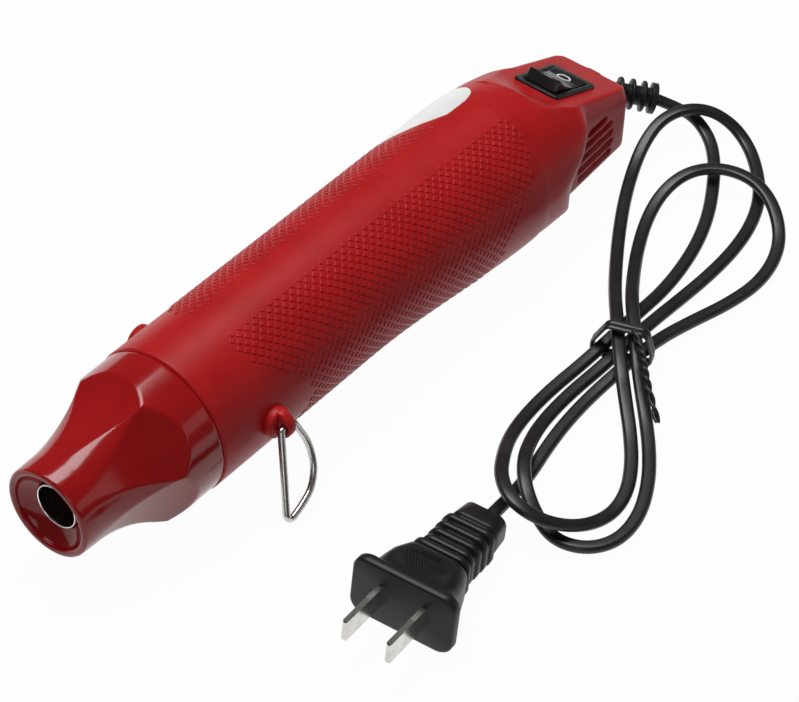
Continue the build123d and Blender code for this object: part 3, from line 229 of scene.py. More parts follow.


# %% [markdown]
# The mains cord leaves the tail, goes round two large loops of a hank, and ends in the plug. A simulated
# cord would not lie just as this one does, so its route is a list of given places. One smooth spline
# follows them, and it rises over each crossing in a low hump.

# %% Cord route
cord_points = [
    (134.2, -12.9, 9.2), (137.0, -18.2, 7.4), (139.4, -24.0, 4.9), (137.0, -30.8, 2.6), (130.4, -37.2, 2.0),
    (120.5, -43.6, 2.0), (109.0, -49.8, 2.0), (96.5, -54.4, 2.0), (83.5, -57.2, 2.0),
    (72.5, -58.4, 2.2), (62.0, -59.1, 3.7), (50.0, -59.3, 3.9), (37.0, -58.6, 2.4), (22.5, -57.8, 2.0),
    (10.5, -58.6, 2.2), (0.4, -61.2, 3.9), (-9.0, -65.8, 7.4), (-18.2, -71.6, 10.4), (-24.0, -79.6, 11.2),
    (-22.6, -88.6, 8.8), (-14.6, -94.6, 4.4), (-4.6, -97.2, 2.0), (4.6, -95.9, 2.0), (14.2, -90.8, 2.0),
    (23.4, -83.6, 2.4), (30.2, -77.0, 4.6), (36.4, -70.9, 7.6), (44.0, -64.4, 8.3), (52.4, -57.8, 8.2),
    (62.0, -50.6, 5.2), (73.0, -43.2, 2.6), (86.0, -35.0, 2.0), (99.5, -27.4, 2.0), (112.0, -21.6, 2.2),
    (121.0, -18.8, 4.6), (128.4, -18.9, 8.2), (135.0, -22.2, 10.0), (140.8, -27.4, 8.9), (143.6, -34.0, 5.4),
    (141.4, -41.6, 2.6), (134.8, -49.0, 2.0), (125.6, -56.4, 2.0), (114.0, -61.3, 2.0), (101.5, -63.7, 2.0),
    (88.0, -64.3, 2.0), (74.5, -63.8, 2.0), (62.5, -63.9, 3.3), (50.5, -64.0, 3.9), (38.0, -63.3, 2.4),
    (25.0, -62.6, 2.0), (13.0, -63.4, 2.2), (2.8, -66.2, 4.2), (-6.6, -70.6, 6.8), (-13.8, -76.4, 7.0),
    (-18.2, -83.2, 4.6), (-20.6, -91.0, 2.2), (-17.8, -99.2, 2.0), (-10.2, -103.8, 2.0), (0.4, -103.0, 2.0),
    (11.6, -98.0, 2.0), (21.8, -91.0, 2.0), (30.4, -83.6, 2.4), (36.8, -77.2, 4.9), (42.8, -71.4, 8.0),
    (51.2, -64.6, 8.3), (60.0, -57.4, 8.0), (70.6, -50.6, 4.6), (83.0, -43.4, 2.2), (95.5, -37.6, 2.0),
    (106.5, -35.0, 3.6), (115.0, -36.6, 6.2), (121.6, -41.2, 6.9), (125.0, -48.0, 6.9), (124.6, -56.0, 6.9),
    (121.0, -63.8, 5.3), (114.4, -70.6, 2.6), (105.0, -74.9, 2.0), (93.5, -76.6, 2.0), (81.5, -74.8, 2.0),
    (70.5, -71.6, 2.0), (59.5, -69.4, 2.8), (48.0, -68.7, 3.8), (37.0, -68.0, 2.9), (26.5, -67.5, 2.0),
    (14.5, -68.4, 2.0), (4.0, -70.2, 2.0), (-5.0, -72.2, 2.0), (-13.4, -73.7, 2.6),
]
plug_heading, plug_pitch = math.radians(-174.5), math.radians(6)
plug_length, plug_lead = 40, 6
flange_half, flange_thickness = 9, 3.5
plug_ahead = np.array((
    math.cos(plug_heading) * math.cos(plug_pitch),
    math.sin(plug_heading) * math.cos(plug_pitch),
    math.sin(plug_pitch),
))
plug_height = flange_half * math.cos(plug_pitch) + flange_thickness * math.sin(plug_pitch)
plug_face = np.array((-68.6, -79.3, plug_height))
plug_back = plug_face - plug_ahead * plug_length
cord_points += [tuple(plug_back - plug_ahead * plug_lead), tuple(plug_back)]


def smooth_line(points, name, resolution=8):
    """The points of a smooth NURBS curve of order three that is guided by the given points."""
    curve = bpy.data.curves.new(name, "CURVE")
    curve.dimensions = "3D"
    curve.resolution_u = resolution
    spline = curve.splines.new("NURBS")
    spline.points.add(len(points) - 1)
    for target, point in zip(spline.points, points):
        target.co = (point[0] * mm, point[1] * mm, point[2] * mm, 1)
    spline.order_u = 3
    spline.use_endpoint_u = True
    guide = bpy.data.objects.new(name, curve)
    mesh = bpy.data.meshes.new_from_object(guide)
    line = np.array([vertex.co for vertex in mesh.vertices])
    bpy.data.meshes.remove(mesh)
    bpy.data.objects.remove(guide)
    bpy.data.curves.remove(curve)
    return line


cord_line = smooth_line(cord_points, "cord_guide")
cord_length = float(np.linalg.norm(np.diff(cord_line, axis=0), axis=1).sum())
print("cord length", round(cord_length, 3))

# %% [markdown]
# The cord is flat twin cable: two insulated cores side by side with a shallow groove between them. A round
# bevel on a curve can't show that, so a figure-of-eight section is carried along the line. It keeps its
# wide side level, as the cord lies on the table.

# %% Cord
core_radius, core_offset = 1.32, 0.6
groove_depth, groove_width = 0.16, 0.25
cord_across, cord_up = circle(20).T
lobes = core_offset * np.tanh(4 * cord_across)
waist = 1 - groove_depth * np.exp(-(cord_across / groove_width) ** 2)
cord_section = np.stack((lobes + core_radius * cord_across, core_radius * waist * cord_up), -1) * mm
cord = grid_piece("mains_cord", swept(cord_line, cord_section), slot="cord",
                  replaces=("cord_lead", "cord_hank", "cord_tail"))

# %% [markdown]
# The nozzle cover is a moulded shell: a dished mouth, a neck that flares into a collar, and six hollow
# facets cut into the flare. They could be cut by boolean tools, but a formula gives cleaner edges. At an
# angle from the middle of a facet, its surface is at the facet's height divided by the cosine of that
# angle. The smaller of that and the turned radius is the real surface, and a soft minimum rounds the
# ridges.

# %% Nozzle cover
neck, collar, joint_radius = 13.3, 21.2, 19.0
collar_end, collar_edge, collar_chamfer = 42.7, 42.2, 0.25
ridge_start, ridge_curve = 6, 34.0
facet_start, facet_curve, facet_count, facet_turn = 8, 44.0, 6, math.radians(47.7)
lip_depth, lip_middle, lip_half = 0.9, 12.0, 1.1
dish_depth, dish_fall, dish_power = 3.5, 4.1, 1.6
ridge_softness = 0.09


def flared(station, start, curve):
    """The radius of an arc that leaves the neck along the axis."""
    rise = curve - np.sqrt(np.maximum(curve**2 - np.maximum(station - start, 0) ** 2, 0))
    return neck + rise


outside = np.concatenate((
    np.linspace(50.6, 42.75, 8), np.linspace(42.6, 22.6, 40), np.linspace(22.5, ridge_start, 60)))
crest = np.minimum(flared(outside, ridge_start, ridge_curve), collar)
crest = np.where(outside > collar_edge, collar - collar_chamfer, crest)
crest = np.where(outside > collar_end, joint_radius, crest)
lip_turn = np.linspace(0, math.pi, 14)
lip = np.stack((lip_depth - lip_depth * np.sin(lip_turn), lip_middle + lip_half * np.cos(lip_turn)), -1)
dish_part = np.linspace(0.06, 1, 20)
dish = np.stack((
    lip_depth + dish_depth * dish_part, lip_middle - lip_half - dish_fall * dish_part**dish_power), -1)
inside = [
    (4.6, 6.75), (5.8, 6.8), (5.8, 11.7), (8, 11.7), (13, 11.7), (18, 12.5), (22, 13.7), (26, 15.2),
    (30, 17), (31, 17.4), (50.6, 17.4),
]
cover_profile = np.concatenate((np.stack((outside, crest), -1), [(3, 13.2)], lip, dish, inside))
cover_angles = np.linspace(0, 2 * math.pi, 480, endpoint=False)
facet_middles = facet_turn + np.arange(facet_count) * 2 * math.pi / facet_count
from_middle = np.abs((cover_angles - facet_middles[:, None] + math.pi) % (2 * math.pi) - math.pi).min(0)
cover_radii = np.repeat(cover_profile[:, 1:], len(cover_angles), 1)
crest_radii = cover_radii[:len(outside)]
facets = flared(outside[:, None], facet_start, facet_curve) / np.cos(from_middle)
cut = outside[:, None] <= collar_end
cover_radii[:len(outside)] = np.where(cut, softest([crest_radii, facets], ridge_softness), crest_radii)
cover_grid = round_axis(cover_profile[:, :1], cover_radii, cover_angles)
grid_piece("cover_shell", cover_grid * mm, closed_rows=True, caps=False, slot="cover",
           replaces=("nozzle_cover",))

# %% [markdown]
# The outlet is a thin chromed tube that stands in the dish, with a rolled rim. Behind it the can widens to
# hold the heater. It is a plain turned shape, so one profile of stations and radii is carried round.

# %% Outlet tube
rim_turn = np.linspace(0, math.pi, 10)
rim = np.stack((3.75 - 0.35 * np.sin(rim_turn), 6.25 + 0.27 * np.cos(rim_turn)), -1)
can = [(16.3, 6.0), (33.4, 14.5), (95, 14.5), (95, 18.6), (94.4, 18.6), (94.4, 15), (33, 15), (16, 6.5)]
outlet_profile = np.concatenate((rim, can))[::-1]
outlet_angles = np.linspace(0, 2 * math.pi, 96, endpoint=False)
outlet_grid = round_axis(outlet_profile[:, :1], outlet_profile[:, 1:], -outlet_angles)
grid_piece("outlet_can", outlet_grid * mm, closed_rows=True, caps=False, flip=True, slot="outlet",
           replaces=("outlet_tube",))

# %% [markdown]
# The stand ring is bent from round steel wire. Its bar turns in the lug's ear, and its toe comes down close
# to the table. A curve with a bevel would do as well, but carrying a circle along the outline keeps one
# method for all pieces. The outline is flat, with rounded corners, in a plane that leans outwards.

# %% Stand ring
lug_x, eye_y = -48.4, -25.4
ring_corners = [(-1.9, 0), (2.9, 0), (4.9, -7.6), (3.6, -14.4), (-0.4, -18.9), (-5.5, -20.7), (-11.7, -22.2)]
ring_radii = [1.1, 2.0, 14, 11, 9, 14, 1.4]
ring_outline = rounded(ring_corners, ring_radii, steps=12)
ring_lean = math.radians(28)
ring_place = np.array((lug_x, eye_y, axis_height))
ring_down = np.array((0, math.sin(ring_lean), math.cos(ring_lean)))
ring_path = on_axes(ring_place, (ring_outline[:, :1], ring_outline[:, 1:]), (x_axis, ring_down)) * mm
ring_side = (0, -math.cos(ring_lean), math.sin(ring_lean))
ring_grid = swept(ring_path, circle(20) * mm, closed=True, side=ring_side)
grid_piece("stand_ring", ring_grid, closed_rows=True, caps=False, body="ring", slot="steel",
           replaces=("d_ring",))

# %% [markdown]
# The handle is one moulding: a round body that swells towards the heel, a shoulder, a rounded slope, the
# switch face and a squarish tail with a flat underside. Joining such solids leaves hard seams, so the
# handle is one polar surface instead. At each station and angle, a ray from the axis meets several limits,
# and the nearest one is the surface. A soft minimum rounds the edges where two limits meet.

# %% Body of the handle
barrel_radius, heel_radius, heel_drop = 21.5, 23.7, 3.6
swell_start, heel_station = 105.0, 182.0
shoulder_start, shoulder_width, shoulder_fall, shoulder_length = 150, 24.3, 9.3, 6.9
shoulder_end = np.array((
    (-21.5, 198.2), (-15, 197.4), (-10, 197.4), (-5, 198.6), (1.8, 203), (7, 204.4), (12, 202), (16, 198)))
slope_start, slope_fade, slope_tan = 166, 12, math.tan(math.radians(15))
slope_height, slope_sink, slope_radius = 17.2, 24.6, 24.48
shoulder_least, shoulder_softness = 2.0, 0.5
slope_least, slope_lift, slope_softness = 3.0, 8, 0.8
tail_start = 194
no_limit = 400.0


def handle_section(station):
    """The handle's radius and the drop of its centre: half a cosine wave from the barrel to the heel."""
    share = np.clip((station - swell_start) / (heel_station - swell_start), 0, 1)
    growth = (1 - np.cos(math.pi * share)) / 2
    return barrel_radius + growth * (heel_radius - barrel_radius), growth * heel_drop


def ray_to_line(y_part, z_part, normal_y, normal_z, distance):
    """How far the ray (y, z) goes until its share along the normal reaches the distance."""
    least = 1e-3
    along = y_part * normal_y + z_part * normal_z
    return np.where(along > least, distance / np.maximum(along, least), no_limit)


def shoulder_reach(station, y_part, z_part, radius, round_reach):
    """The body's sides fall in by an exponential that ends at each height's own station.

    The height depends on the reach, so each of eight rounds goes half the way to the reach it finds.
    """
    reach = radius
    side = np.abs(y_part)
    for _ in range(8):
        end = np.interp(reach * z_part, shoulder_end[:, 0], shoulder_end[:, 1])
        fall = shoulder_fall * np.exp(np.clip((station - end) / shoulder_length, -9, 2))
        half_width = np.maximum(shoulder_width - fall, shoulder_least)
        found = softest([round_reach, ray_to_line(side, z_part, 1, 0, half_width)], shoulder_softness)
        reach = np.where(station > shoulder_start, 0.5 * reach + 0.5 * found, round_reach)
    return reach


def slope_reach(station, y_part, z_part):
    """The slope: a lying cylinder that sinks along the tool, met by the ray's quadratic formula."""
    centre_z = slope_height + slope_tan * (tail_start - station) - slope_sink
    root = slope_radius**2 - (centre_z * y_part) ** 2
    cylinder = centre_z * z_part + np.sqrt(np.maximum(root, 0))
    slope = np.where((station > slope_start) & (root > 0), cylinder, no_limit)
    fade = np.clip((slope_start + slope_fade - station) / slope_fade, 0, 1)
    return np.maximum(slope, slope_least) + slope_lift * fade


def body_reach(station, y_part, z_part):
    """The round body with its shoulder and slope, as a smooth minimum of their reaches."""
    radius, drop = handle_section(station)
    round_reach = -drop * z_part + np.sqrt((drop * z_part) ** 2 - drop**2 + radius**2)
    shoulder = shoulder_reach(station, y_part, z_part, radius, round_reach)
    return softest([shoulder, slope_reach(station, y_part, z_part)], slope_softness)


# %% [markdown]
# The tail is a box with bevelled upper edges. It narrows and its bevels shrink towards the rear, so its
# five limits are flat faces whose distances change along the tool. Its rear corners are rounded by pulling
# the limits in along a quarter of a circle.

# %% Tail of the handle
face_lean = math.radians(20.8)
face_height, face_front = 12.2, 199.1
tail_length, rear_start, rear_radius = 36, 226, 4
edge_start = 229
side_width, side_narrowing = 15.7, 2.2
bevel_height, bevel_shrinking = 6.2, 3.8
top_stations, top_widths = (188, 194, 201, 230), (9.5, 10.8, 12.8, 11.9)
corner_y, corner_z, corner_height, corner_inset = 0.64, -0.77, 18.6, 0.2
bottom_height, top_round_share, tail_softness = 19.7, 0.8, 0.45


def face_level(station):
    """The switch face's height over the axis: it falls by its tangent times the way from its front."""
    return face_height - math.tan(face_lean) * (station - face_front)


def tail_reach(station, y_part, z_part):
    """The smallest reach to the top, the bevels, the sides, the lower corners and the bottom."""
    rear = np.clip(station - rear_start, 0, rear_radius)
    round_off = rear_radius - np.sqrt(rear_radius**2 - rear**2)
    edge = 1 - np.sqrt(1 - np.clip(station - edge_start, 0, 1) ** 2)
    share = (station - tail_start) / tail_length
    side_half = side_width - side_narrowing * share - round_off
    top_half = np.interp(station, top_stations, top_widths) - top_round_share * round_off
    top = face_level(station) - edge
    run, fall = side_half - top_half, bevel_height - bevel_shrinking * share
    slant = np.sqrt(run**2 + fall**2)
    corner_distance = (side_half - corner_inset) * corner_y - corner_height * corner_z
    side = np.abs(y_part)
    return softest([
        ray_to_line(side, z_part, 0, 1, top),
        ray_to_line(side, z_part, fall / slant, run / slant, (top_half * fall + top * run) / slant),
        ray_to_line(side, z_part, 1, 0, side_half),
        ray_to_line(side, z_part, corner_y, corner_z, corner_distance),
        ray_to_line(side, z_part, 0, -1, bottom_height - edge),
    ], tail_softness)


# %% [markdown]
# Where the body meets the switch face, the edge is sharp in the middle and melts away towards the sides.
# The width of its blend therefore grows with the distance from the middle. Body and tail are then joined by
# a smooth maximum, and a level plane cuts the underside flat.

# %% Whole handle
face_start, face_rise = 180, 0.62
blend_least, blend_growth, blend_span, blend_share = 0.5, 0.16, 12, 0.6
join_start, join_limit, join_softness = 188, 6, 0.7
floor_softness = 0.25


def handle_reach(station, angle):
    """The distance from the axis to the handle's surface at an angle from the top to the near side."""
    y_part, z_part = -np.sin(angle), np.cos(angle)
    body = body_reach(station, y_part, z_part)
    blur = blend_least + blend_growth * np.clip(np.abs(body * y_part) - 1, 0, blend_span)
    before = blur * np.log(1 + np.exp(np.clip((tail_start - station) / blur, -40, 40)))
    face = ray_to_line(np.abs(y_part), z_part, 0, 1, face_level(station) + face_rise * before)
    face = np.where(station > face_start, face, no_limit)
    body = softest([body, face], blend_share * blur)
    tail = tail_reach(station, y_part, z_part)
    tail = np.where(station > join_start, tail, 0.0)
    blended = -softest([-body, -tail], join_softness)
    joined = np.where(np.abs(body - tail) < join_limit, blended, np.maximum(body, tail))
    reach = np.minimum(np.where(station > join_start, joined, body), face)
    return softest([reach, ray_to_line(y_part, z_part, 0, -1, axis_height)], floor_softness)


def step_up(value, edge):
    """A smooth step from 0 to 1 over the edge's width, centred on zero: 3 t^2 - 2 t^3."""
    share = np.clip(value / edge + 0.5, 0, 1)
    return share * share * (3 - 2 * share)


seam_station, seam_chamfer = 43.1, 1.4
handle_stations = np.concatenate((
    [42.75, 42.85, seam_station], np.linspace(43.5, 104, 40), np.linspace(105, 176, 48),
    np.linspace(177, 200, 70), np.linspace(200.3, rear_start, 74),
    rear_start + rear_radius * np.sin(np.linspace(0.08, math.pi / 2, 12)),
))
handle_angles = np.linspace(0, 2 * math.pi, 396, endpoint=False)
station_grid, angle_grid = np.meshgrid(handle_stations, handle_angles, indexing="ij")
reach_grid = handle_reach(station_grid, angle_grid)
chamfered = reach_grid - (seam_station - station_grid) * seam_chamfer
reach_grid = np.where(station_grid < 43, chamfered, reach_grid)
side_y = -reach_grid * np.sin(angle_grid)
side_z = reach_grid * np.cos(angle_grid)
print("handle surface:", reach_grid.shape, "widest", round(float(reach_grid.max()), 2))

# %% [markdown]
# Each side of the tail has five air slots with round ends, and the face has a pocket for the switch. Holes
# would need booleans on a dense mesh. Here the slots are grooves: the surface steps in by their depth where
# it is nearer to a slot's middle line than half its width. The pocket steps straight down in the same way.

# %% Air slots and switch pocket
slot_station, slot_height, slot_pitch = 211.6, -8.4, 3.6
slot_lengths, slot_depth = (9.5, 16, 17.5, 18, 17), 3.0
slot_half, slot_end, slot_edge, slot_side = 1.05, 0.9, 0.45, 10
pocket_station, pocket_depth, pocket_edge = 209.7, 8.8, 0.4
pocket_half_length, pocket_half_width = 9.6, 6.7
slots = np.zeros_like(reach_grid)
for row, slot_length in enumerate(slot_lengths):
    middle_z = slot_height - slot_pitch * (row - 2)
    beyond = np.maximum(np.abs(station_grid - slot_station) - (slot_length / 2 - slot_end), 0)
    from_slot = np.sqrt(beyond**2 + (side_z - middle_z) ** 2)
    slots = np.maximum(slots, step_up(slot_half - from_slot, slot_edge))
slots = np.where(np.abs(side_y) > slot_side, slots, 0)
reach_grid = reach_grid - slot_depth * slots / np.maximum(np.abs(np.sin(angle_grid)), 0.5)
along_face = (station_grid - pocket_station) * math.cos(face_lean)
along_face = along_face - (side_z - face_level(pocket_station)) * math.sin(face_lean)
pocket = step_up(pocket_half_length - np.abs(along_face), pocket_edge)
pocket = pocket * step_up(pocket_half_width - np.abs(side_y), pocket_edge) * (side_z > 0)
handle_grid = round_axis(station_grid, reach_grid, angle_grid)
handle_grid[..., 2] -= pocket_depth * pocket
grid_piece("handle_shell", handle_grid * mm, slot="grip", replaces=("barrel",))

# %% [markdown]
# Two round lugs stick out of the handle behind the seam. Each is a short turned pin with a softened end.
# The near one has an ear, a thin web with an eye for the ring's bar. The ear's outline is a circle whose
# centre lies to one side of the eye, so its edge is found by the formula for a ray that leaves the eye.

# %% Lugs
lug_radius, lug_root = 4.4, 18.0
for name, side, lug_reach in (("lug_near", -1, 23.7), ("lug_far", 1, 25.5)):
    lug_profile = [
        (lug_root, lug_radius), (lug_reach - 0.7, lug_radius), (lug_reach - 0.2, lug_radius - 0.2),
        (lug_reach, lug_radius - 0.7), (lug_reach + 0.05, 1.5),
    ]
    lug_place = np.array((lug_x, 0, axis_height))
    lug_grid = np.array([
        on_axes(lug_place, (radius * circle(40)[:, :1], radius * circle(40)[:, 1:], side * out),
                (x_axis, z_axis, y_axis))
        for out, radius in lug_profile])
    grid_piece(name, lug_grid * mm, slot="grip", flip=side < 0)

# %% Ear
ear_radius, ear_shift, eye_radius = 4.3, 2.3, 1.25
ear_circle = circle(64)
ear_edge = ear_shift * ear_circle[:, 0] + np.sqrt(ear_radius**2 - (ear_shift * ear_circle[:, 1]) ** 2)
eye_edge = np.full(len(ear_circle), eye_radius)
ear_rows = [
    (-0.9, ear_edge - 0.5), (-0.8, ear_edge - 0.15), (-0.4, ear_edge), (1.4, ear_edge),
    (1.8, ear_edge - 0.15), (1.9, ear_edge - 0.5), (1.9, eye_edge + 0.25), (1.7, eye_edge),
    (-0.7, eye_edge), (-0.9, eye_edge + 0.25),
]
ear_grid = np.array([
    on_axes(ring_place, (at, (edge * ear_circle[:, 0])[:, None], (edge * ear_circle[:, 1])[:, None]),
            (x_axis, y_axis, z_axis))
    for at, edge in ear_rows])
grid_piece("lug_ear", ear_grid * mm, closed_rows=True, caps=False, slot="grip")

# %% [markdown]
# The label is a plain white film on the far side, with its front corner cut back in a long curve. A flat
# patch would cut into the round handle, so its grid of stations and angles is laid on the handle's own
# surface and lifted a little. A rim goes down into the handle all round.

# %% Label


def on_handle(station, angle, lift):
    """A place on the handle, moved outwards by the lift."""
    return round_axis(station, handle_reach(station, angle) + lift, angle)


label_rows, label_columns = 30, 50
label_lift, label_sink, label_first, label_turn = 0.16, -0.1, 18.5, 84
label_part = np.linspace(0, 1, label_rows)
label_angle = np.repeat(-np.radians(label_first + label_turn * label_part)[:, None], label_columns, 1)
label_front_edge = np.array((
    (0, 168), (0.05, 165), (0.12, 162), (0.25, 156.5), (0.42, 152), (0.7, 149), (1, 148)))
label_rear_edge = np.array(((0, 176), (0.03, 179), (0.08, 181.5), (0.2, 183.5), (1, 185)))
label_front = np.interp(label_part, label_front_edge[:, 0], label_front_edge[:, 1])[:, None]
label_rear = np.interp(label_part, label_rear_edge[:, 0], label_rear_edge[:, 1])[:, None]
label_station = label_front + (label_rear - label_front) * np.linspace(0, 1, label_columns)
label_top = on_handle(label_station, label_angle, label_lift).reshape(-1, 3)
label_low = on_handle(label_station, label_angle, label_sink).reshape(-1, 3)
numbers = np.arange(len(label_top)).reshape(label_rows, label_columns)
label_rim = np.concatenate((numbers[0], numbers[1:, -1], numbers[-1, -2::-1], numbers[-2:0:-1, 0]))
rim_low = len(label_top) + np.arange(len(label_rim))
rim_faces = np.stack((rim_low, np.roll(rim_low, -1), np.roll(label_rim, -1), label_rim), -1)
label_faces = np.concatenate((grid_faces(label_rows, label_columns, False, False), rim_faces)).tolist()
label_points = np.concatenate((label_top, label_low[label_rim]))
add_piece("blank_label", label_points * mm, label_faces, slot="label", replaces=("label_sticker",))

# %% [markdown]
# The switch has a thin black frame that stands a little proud of the sloped face, and a floor under the
# rocker. Rounded rectangles of different sizes are placed at their heights over the face and joined in
# rows, which gives the softened rim and the inner walls in one piece.

# %% Switch frame and floor
down_face = np.array((math.cos(face_lean), 0, -math.sin(face_lean)))
off_face = np.array((math.sin(face_lean), 0, math.cos(face_lean)))
switch_centre = np.array((pocket_station - rest_station, 0, axis_height + face_level(pocket_station)))
outer_corner, inner_corner = 1.0, 0.5
frame_sizes = (
    (outer_corner, 20.9, 15.2, -0.6), (outer_corner, 20.9, 15.2, 0.6), (outer_corner, 20.5, 14.8, 0.85),
    (outer_corner, 18.2, 12.2, 0.8), (inner_corner, 17.4, 11.4, 0.5), (inner_corner, 17.2, 11.2, 0),
    (inner_corner, 17.2, 11.2, -5.8), (inner_corner, 18.1, 12.0, -7.0), (outer_corner, 18.1, 12.0, -0.6),
)
floor_sizes = ((inner_corner, 17.6, 11.6, -6.4), (inner_corner, 17.6, 11.6, -5.7))


def face_rows(sizes):
    """Rounded rectangles round the switch's centre, each at its height over the face."""
    outlines = [(rounded_rectangle(length, width, corner, 5), high) for corner, length, width, high in sizes]
    return np.array([
        on_axes(switch_centre, (outline[:, :1], outline[:, 1:], high), (down_face, y_axis, off_face))
        for outline, high in outlines]) * mm


grid_piece("switch_frame", face_rows(frame_sizes), closed_rows=True, caps=False, slot="black",
           replaces=("switch_body",))
grid_piece("switch_floor", face_rows(floor_sizes), slot="black")

# %% [markdown]
# The rocker has a hollow top that rises to both ends. Its side outline is carried across the switch, and
# its edges are rounded by pulling the outermost rows in. It is a body of its own that turns about the
# pivot, and at rest its rear end is pressed.

# %% Rocker
rocker_lean = math.radians(31.8)
rocker_x = np.array((math.cos(rocker_lean), 0, -math.sin(rocker_lean)))
rocker_z = np.array((math.sin(rocker_lean), 0, math.cos(rocker_lean)))
pivot = switch_centre - off_face
rocker_corners = [
    (-7.9, 4.0), (-4, 2.55), (0, 2.1), (4, 2.55), (7.9, 4.0), (8.15, 0.5), (7.4, -3.2), (3, -5.1),
    (-3, -5.1), (-7.4, -3.2), (-8.15, 0.5),
]
rocker_radii = [0.5, 6, 8, 6, 0.5, 3, 2, 3, 3, 2, 3]
rocker_outline = rounded(rocker_corners, rocker_radii, steps=5)
outline_reach = np.linalg.norm(rocker_outline, axis=1, keepdims=True)
rocker_rows = []
for across, inset in ((-5.3, 0.45), (-5.22, 0.18), (-5.0, 0.0), (5.0, 0.0), (5.22, 0.18), (5.3, 0.45)):
    pulled = rocker_outline * (1 - inset / outline_reach)
    rocker_rows.append(on_axes(pivot, (pulled[:, :1], pulled[:, 1:], across), (rocker_x, rocker_z, y_axis)))
grid_piece("rocker_cap", np.array(rocker_rows) * mm, body="rocker", slot="rocker",
           replaces=("switch_rocker",), flip=True)

# %% [markdown]
# The rocker carries the two usual marks, a round one for off and a bar for on. They are low raised shapes
# and not a picture, so they stay sharp close up. Their height follows the rocker's hollow top.

# %% Marks on the rocker
rocker_top = rocker_outline[rocker_outline[:, 1] > 1.9]
rocker_top = rocker_top[np.argsort(rocker_top[:, 0])]
mark_lift, mark_sink = 0.2, 0.05
off_place, off_length, off_width, off_hole = 4.0, 1.5, 2.3, 0.78
on_front, on_rear, on_half = -5.2, -2.8, 0.25


def rocker_mark(name, rows, **facts):
    """A mark from rows of places (along, sideways) and a lift over the rocker's top outline."""
    grid = []
    for places, lift in rows:
        along, sideways = places[:, :1], places[:, 1:]
        high = np.interp(along, rocker_top[:, 0], rocker_top[:, 1]) + lift - mark_sink
        grid.append(on_axes(pivot, (along, high, sideways), (rocker_x, rocker_z, y_axis)))
    grid_piece(name, np.array(grid) * mm, body="rocker", slot="label", **facts)


off_outer = (off_place, 0) + circle(40) * (off_length, off_width)
off_inner = (off_place, 0) + circle(40) * (off_length, off_width) * off_hole
off_rows = ((off_outer, 0), (off_outer, mark_lift), (off_inner, mark_lift), (off_inner, 0))
rocker_mark("mark_off", off_rows, closed_rows=True, caps=False)
on_bar = np.array(((on_front, -on_half), (on_rear, -on_half), (on_rear, on_half), (on_front, on_half)))
rocker_mark("mark_on", ((on_bar, 0), (on_bar, mark_lift)))

# %% [markdown]
# The grip pattern is a diamond net of small raised pads on both sides of a smooth strip. A bump in the
# material would leave the outline smooth, so the pads are real. Each is a block of three rings of four
# points, and all pads are worked out at once: first in stations and arc lengths, then on the handle.

# %% Grip pads
pad_pitch, pad_size, pad_lift = 2.1, 1.5, 0.22
grip_radius, strip_angle, net_start = 22.3, 14, 58
first_pad_angle, last_pad_angle = 15.2, 138
front_line = np.array((
    (14, 60.3), (25, 60.6), (38, 61.7), (49, 64.0), (64, 70.2), (75, 75), (90, 78), (105, 76), (140, 72)))
rear_line = np.array((
    (14, 176.3), (26, 177.6), (40, 176.7), (55, 174.4), (68, 171.4), (78, 167.4), (100, 160), (140, 150)))
label_line = np.array(((14, 165), (22, 159), (40, 153), (54, 150), (80, 147), (102, 146), (108, 175)))
net_step = pad_pitch * math.sqrt(2)
net_rows, net_columns = np.meshgrid(np.arange(-4, 60), np.arange(0, 60), indexing="ij")
pad_centres = np.concatenate([
    np.stack((net_start + (net_columns + shift) * net_step, (net_rows + shift) * net_step), -1).reshape(-1, 2)
    for shift in (0, 0.5)])
pad_angle = np.degrees(pad_centres[:, 1] / grip_radius) + strip_angle
in_rows = (pad_angle > first_pad_angle) & (pad_angle < last_pad_angle)
behind_front = pad_centres[:, 0] > np.interp(pad_angle, front_line[:, 0], front_line[:, 1])
before_rear = pad_centres[:, 0] < np.interp(pad_angle, rear_line[:, 0], rear_line[:, 1])
before_label = pad_centres[:, 0] < np.interp(pad_angle, label_line[:, 0], label_line[:, 1])
on_grip = in_rows & behind_front & before_rear
half_diagonal = pad_size / math.sqrt(2)
pad_rings = ((1.06, -0.12), (0.92, pad_lift * 0.7), (0.72, pad_lift))
for name, side, kept in (("grip_pads_near", 1, on_grip), ("grip_pads_far", -1, on_grip & before_label)):
    centres = pad_centres[kept]
    levels = []
    for share, lift in pad_rings:
        along = centres[:, :1] + share * half_diagonal * circle(4)[:, 0]
        arc = centres[:, 1:] + share * half_diagonal * circle(4)[:, 1]
        levels.append(on_handle(along, side * (np.radians(strip_angle) + arc / grip_radius), lift))
    # The far side is a mirror image, so its corners run backwards to keep the faces outwards.
    pads = np.stack(levels, 1)[:, :, ::side]
    studs(name, pads * mm, slot="grip", smooth=False)
    print("pads in", name, len(centres))

# %% [markdown]
# The plug is moulded in one piece: a thick flange, a waisted body, and a ribbed sleeve for the cord. Each
# stretch is a rounded rectangle, and the rectangles are joined in rows from front to back. Close pairs of
# rows make the edges of the flange and of the ribs.

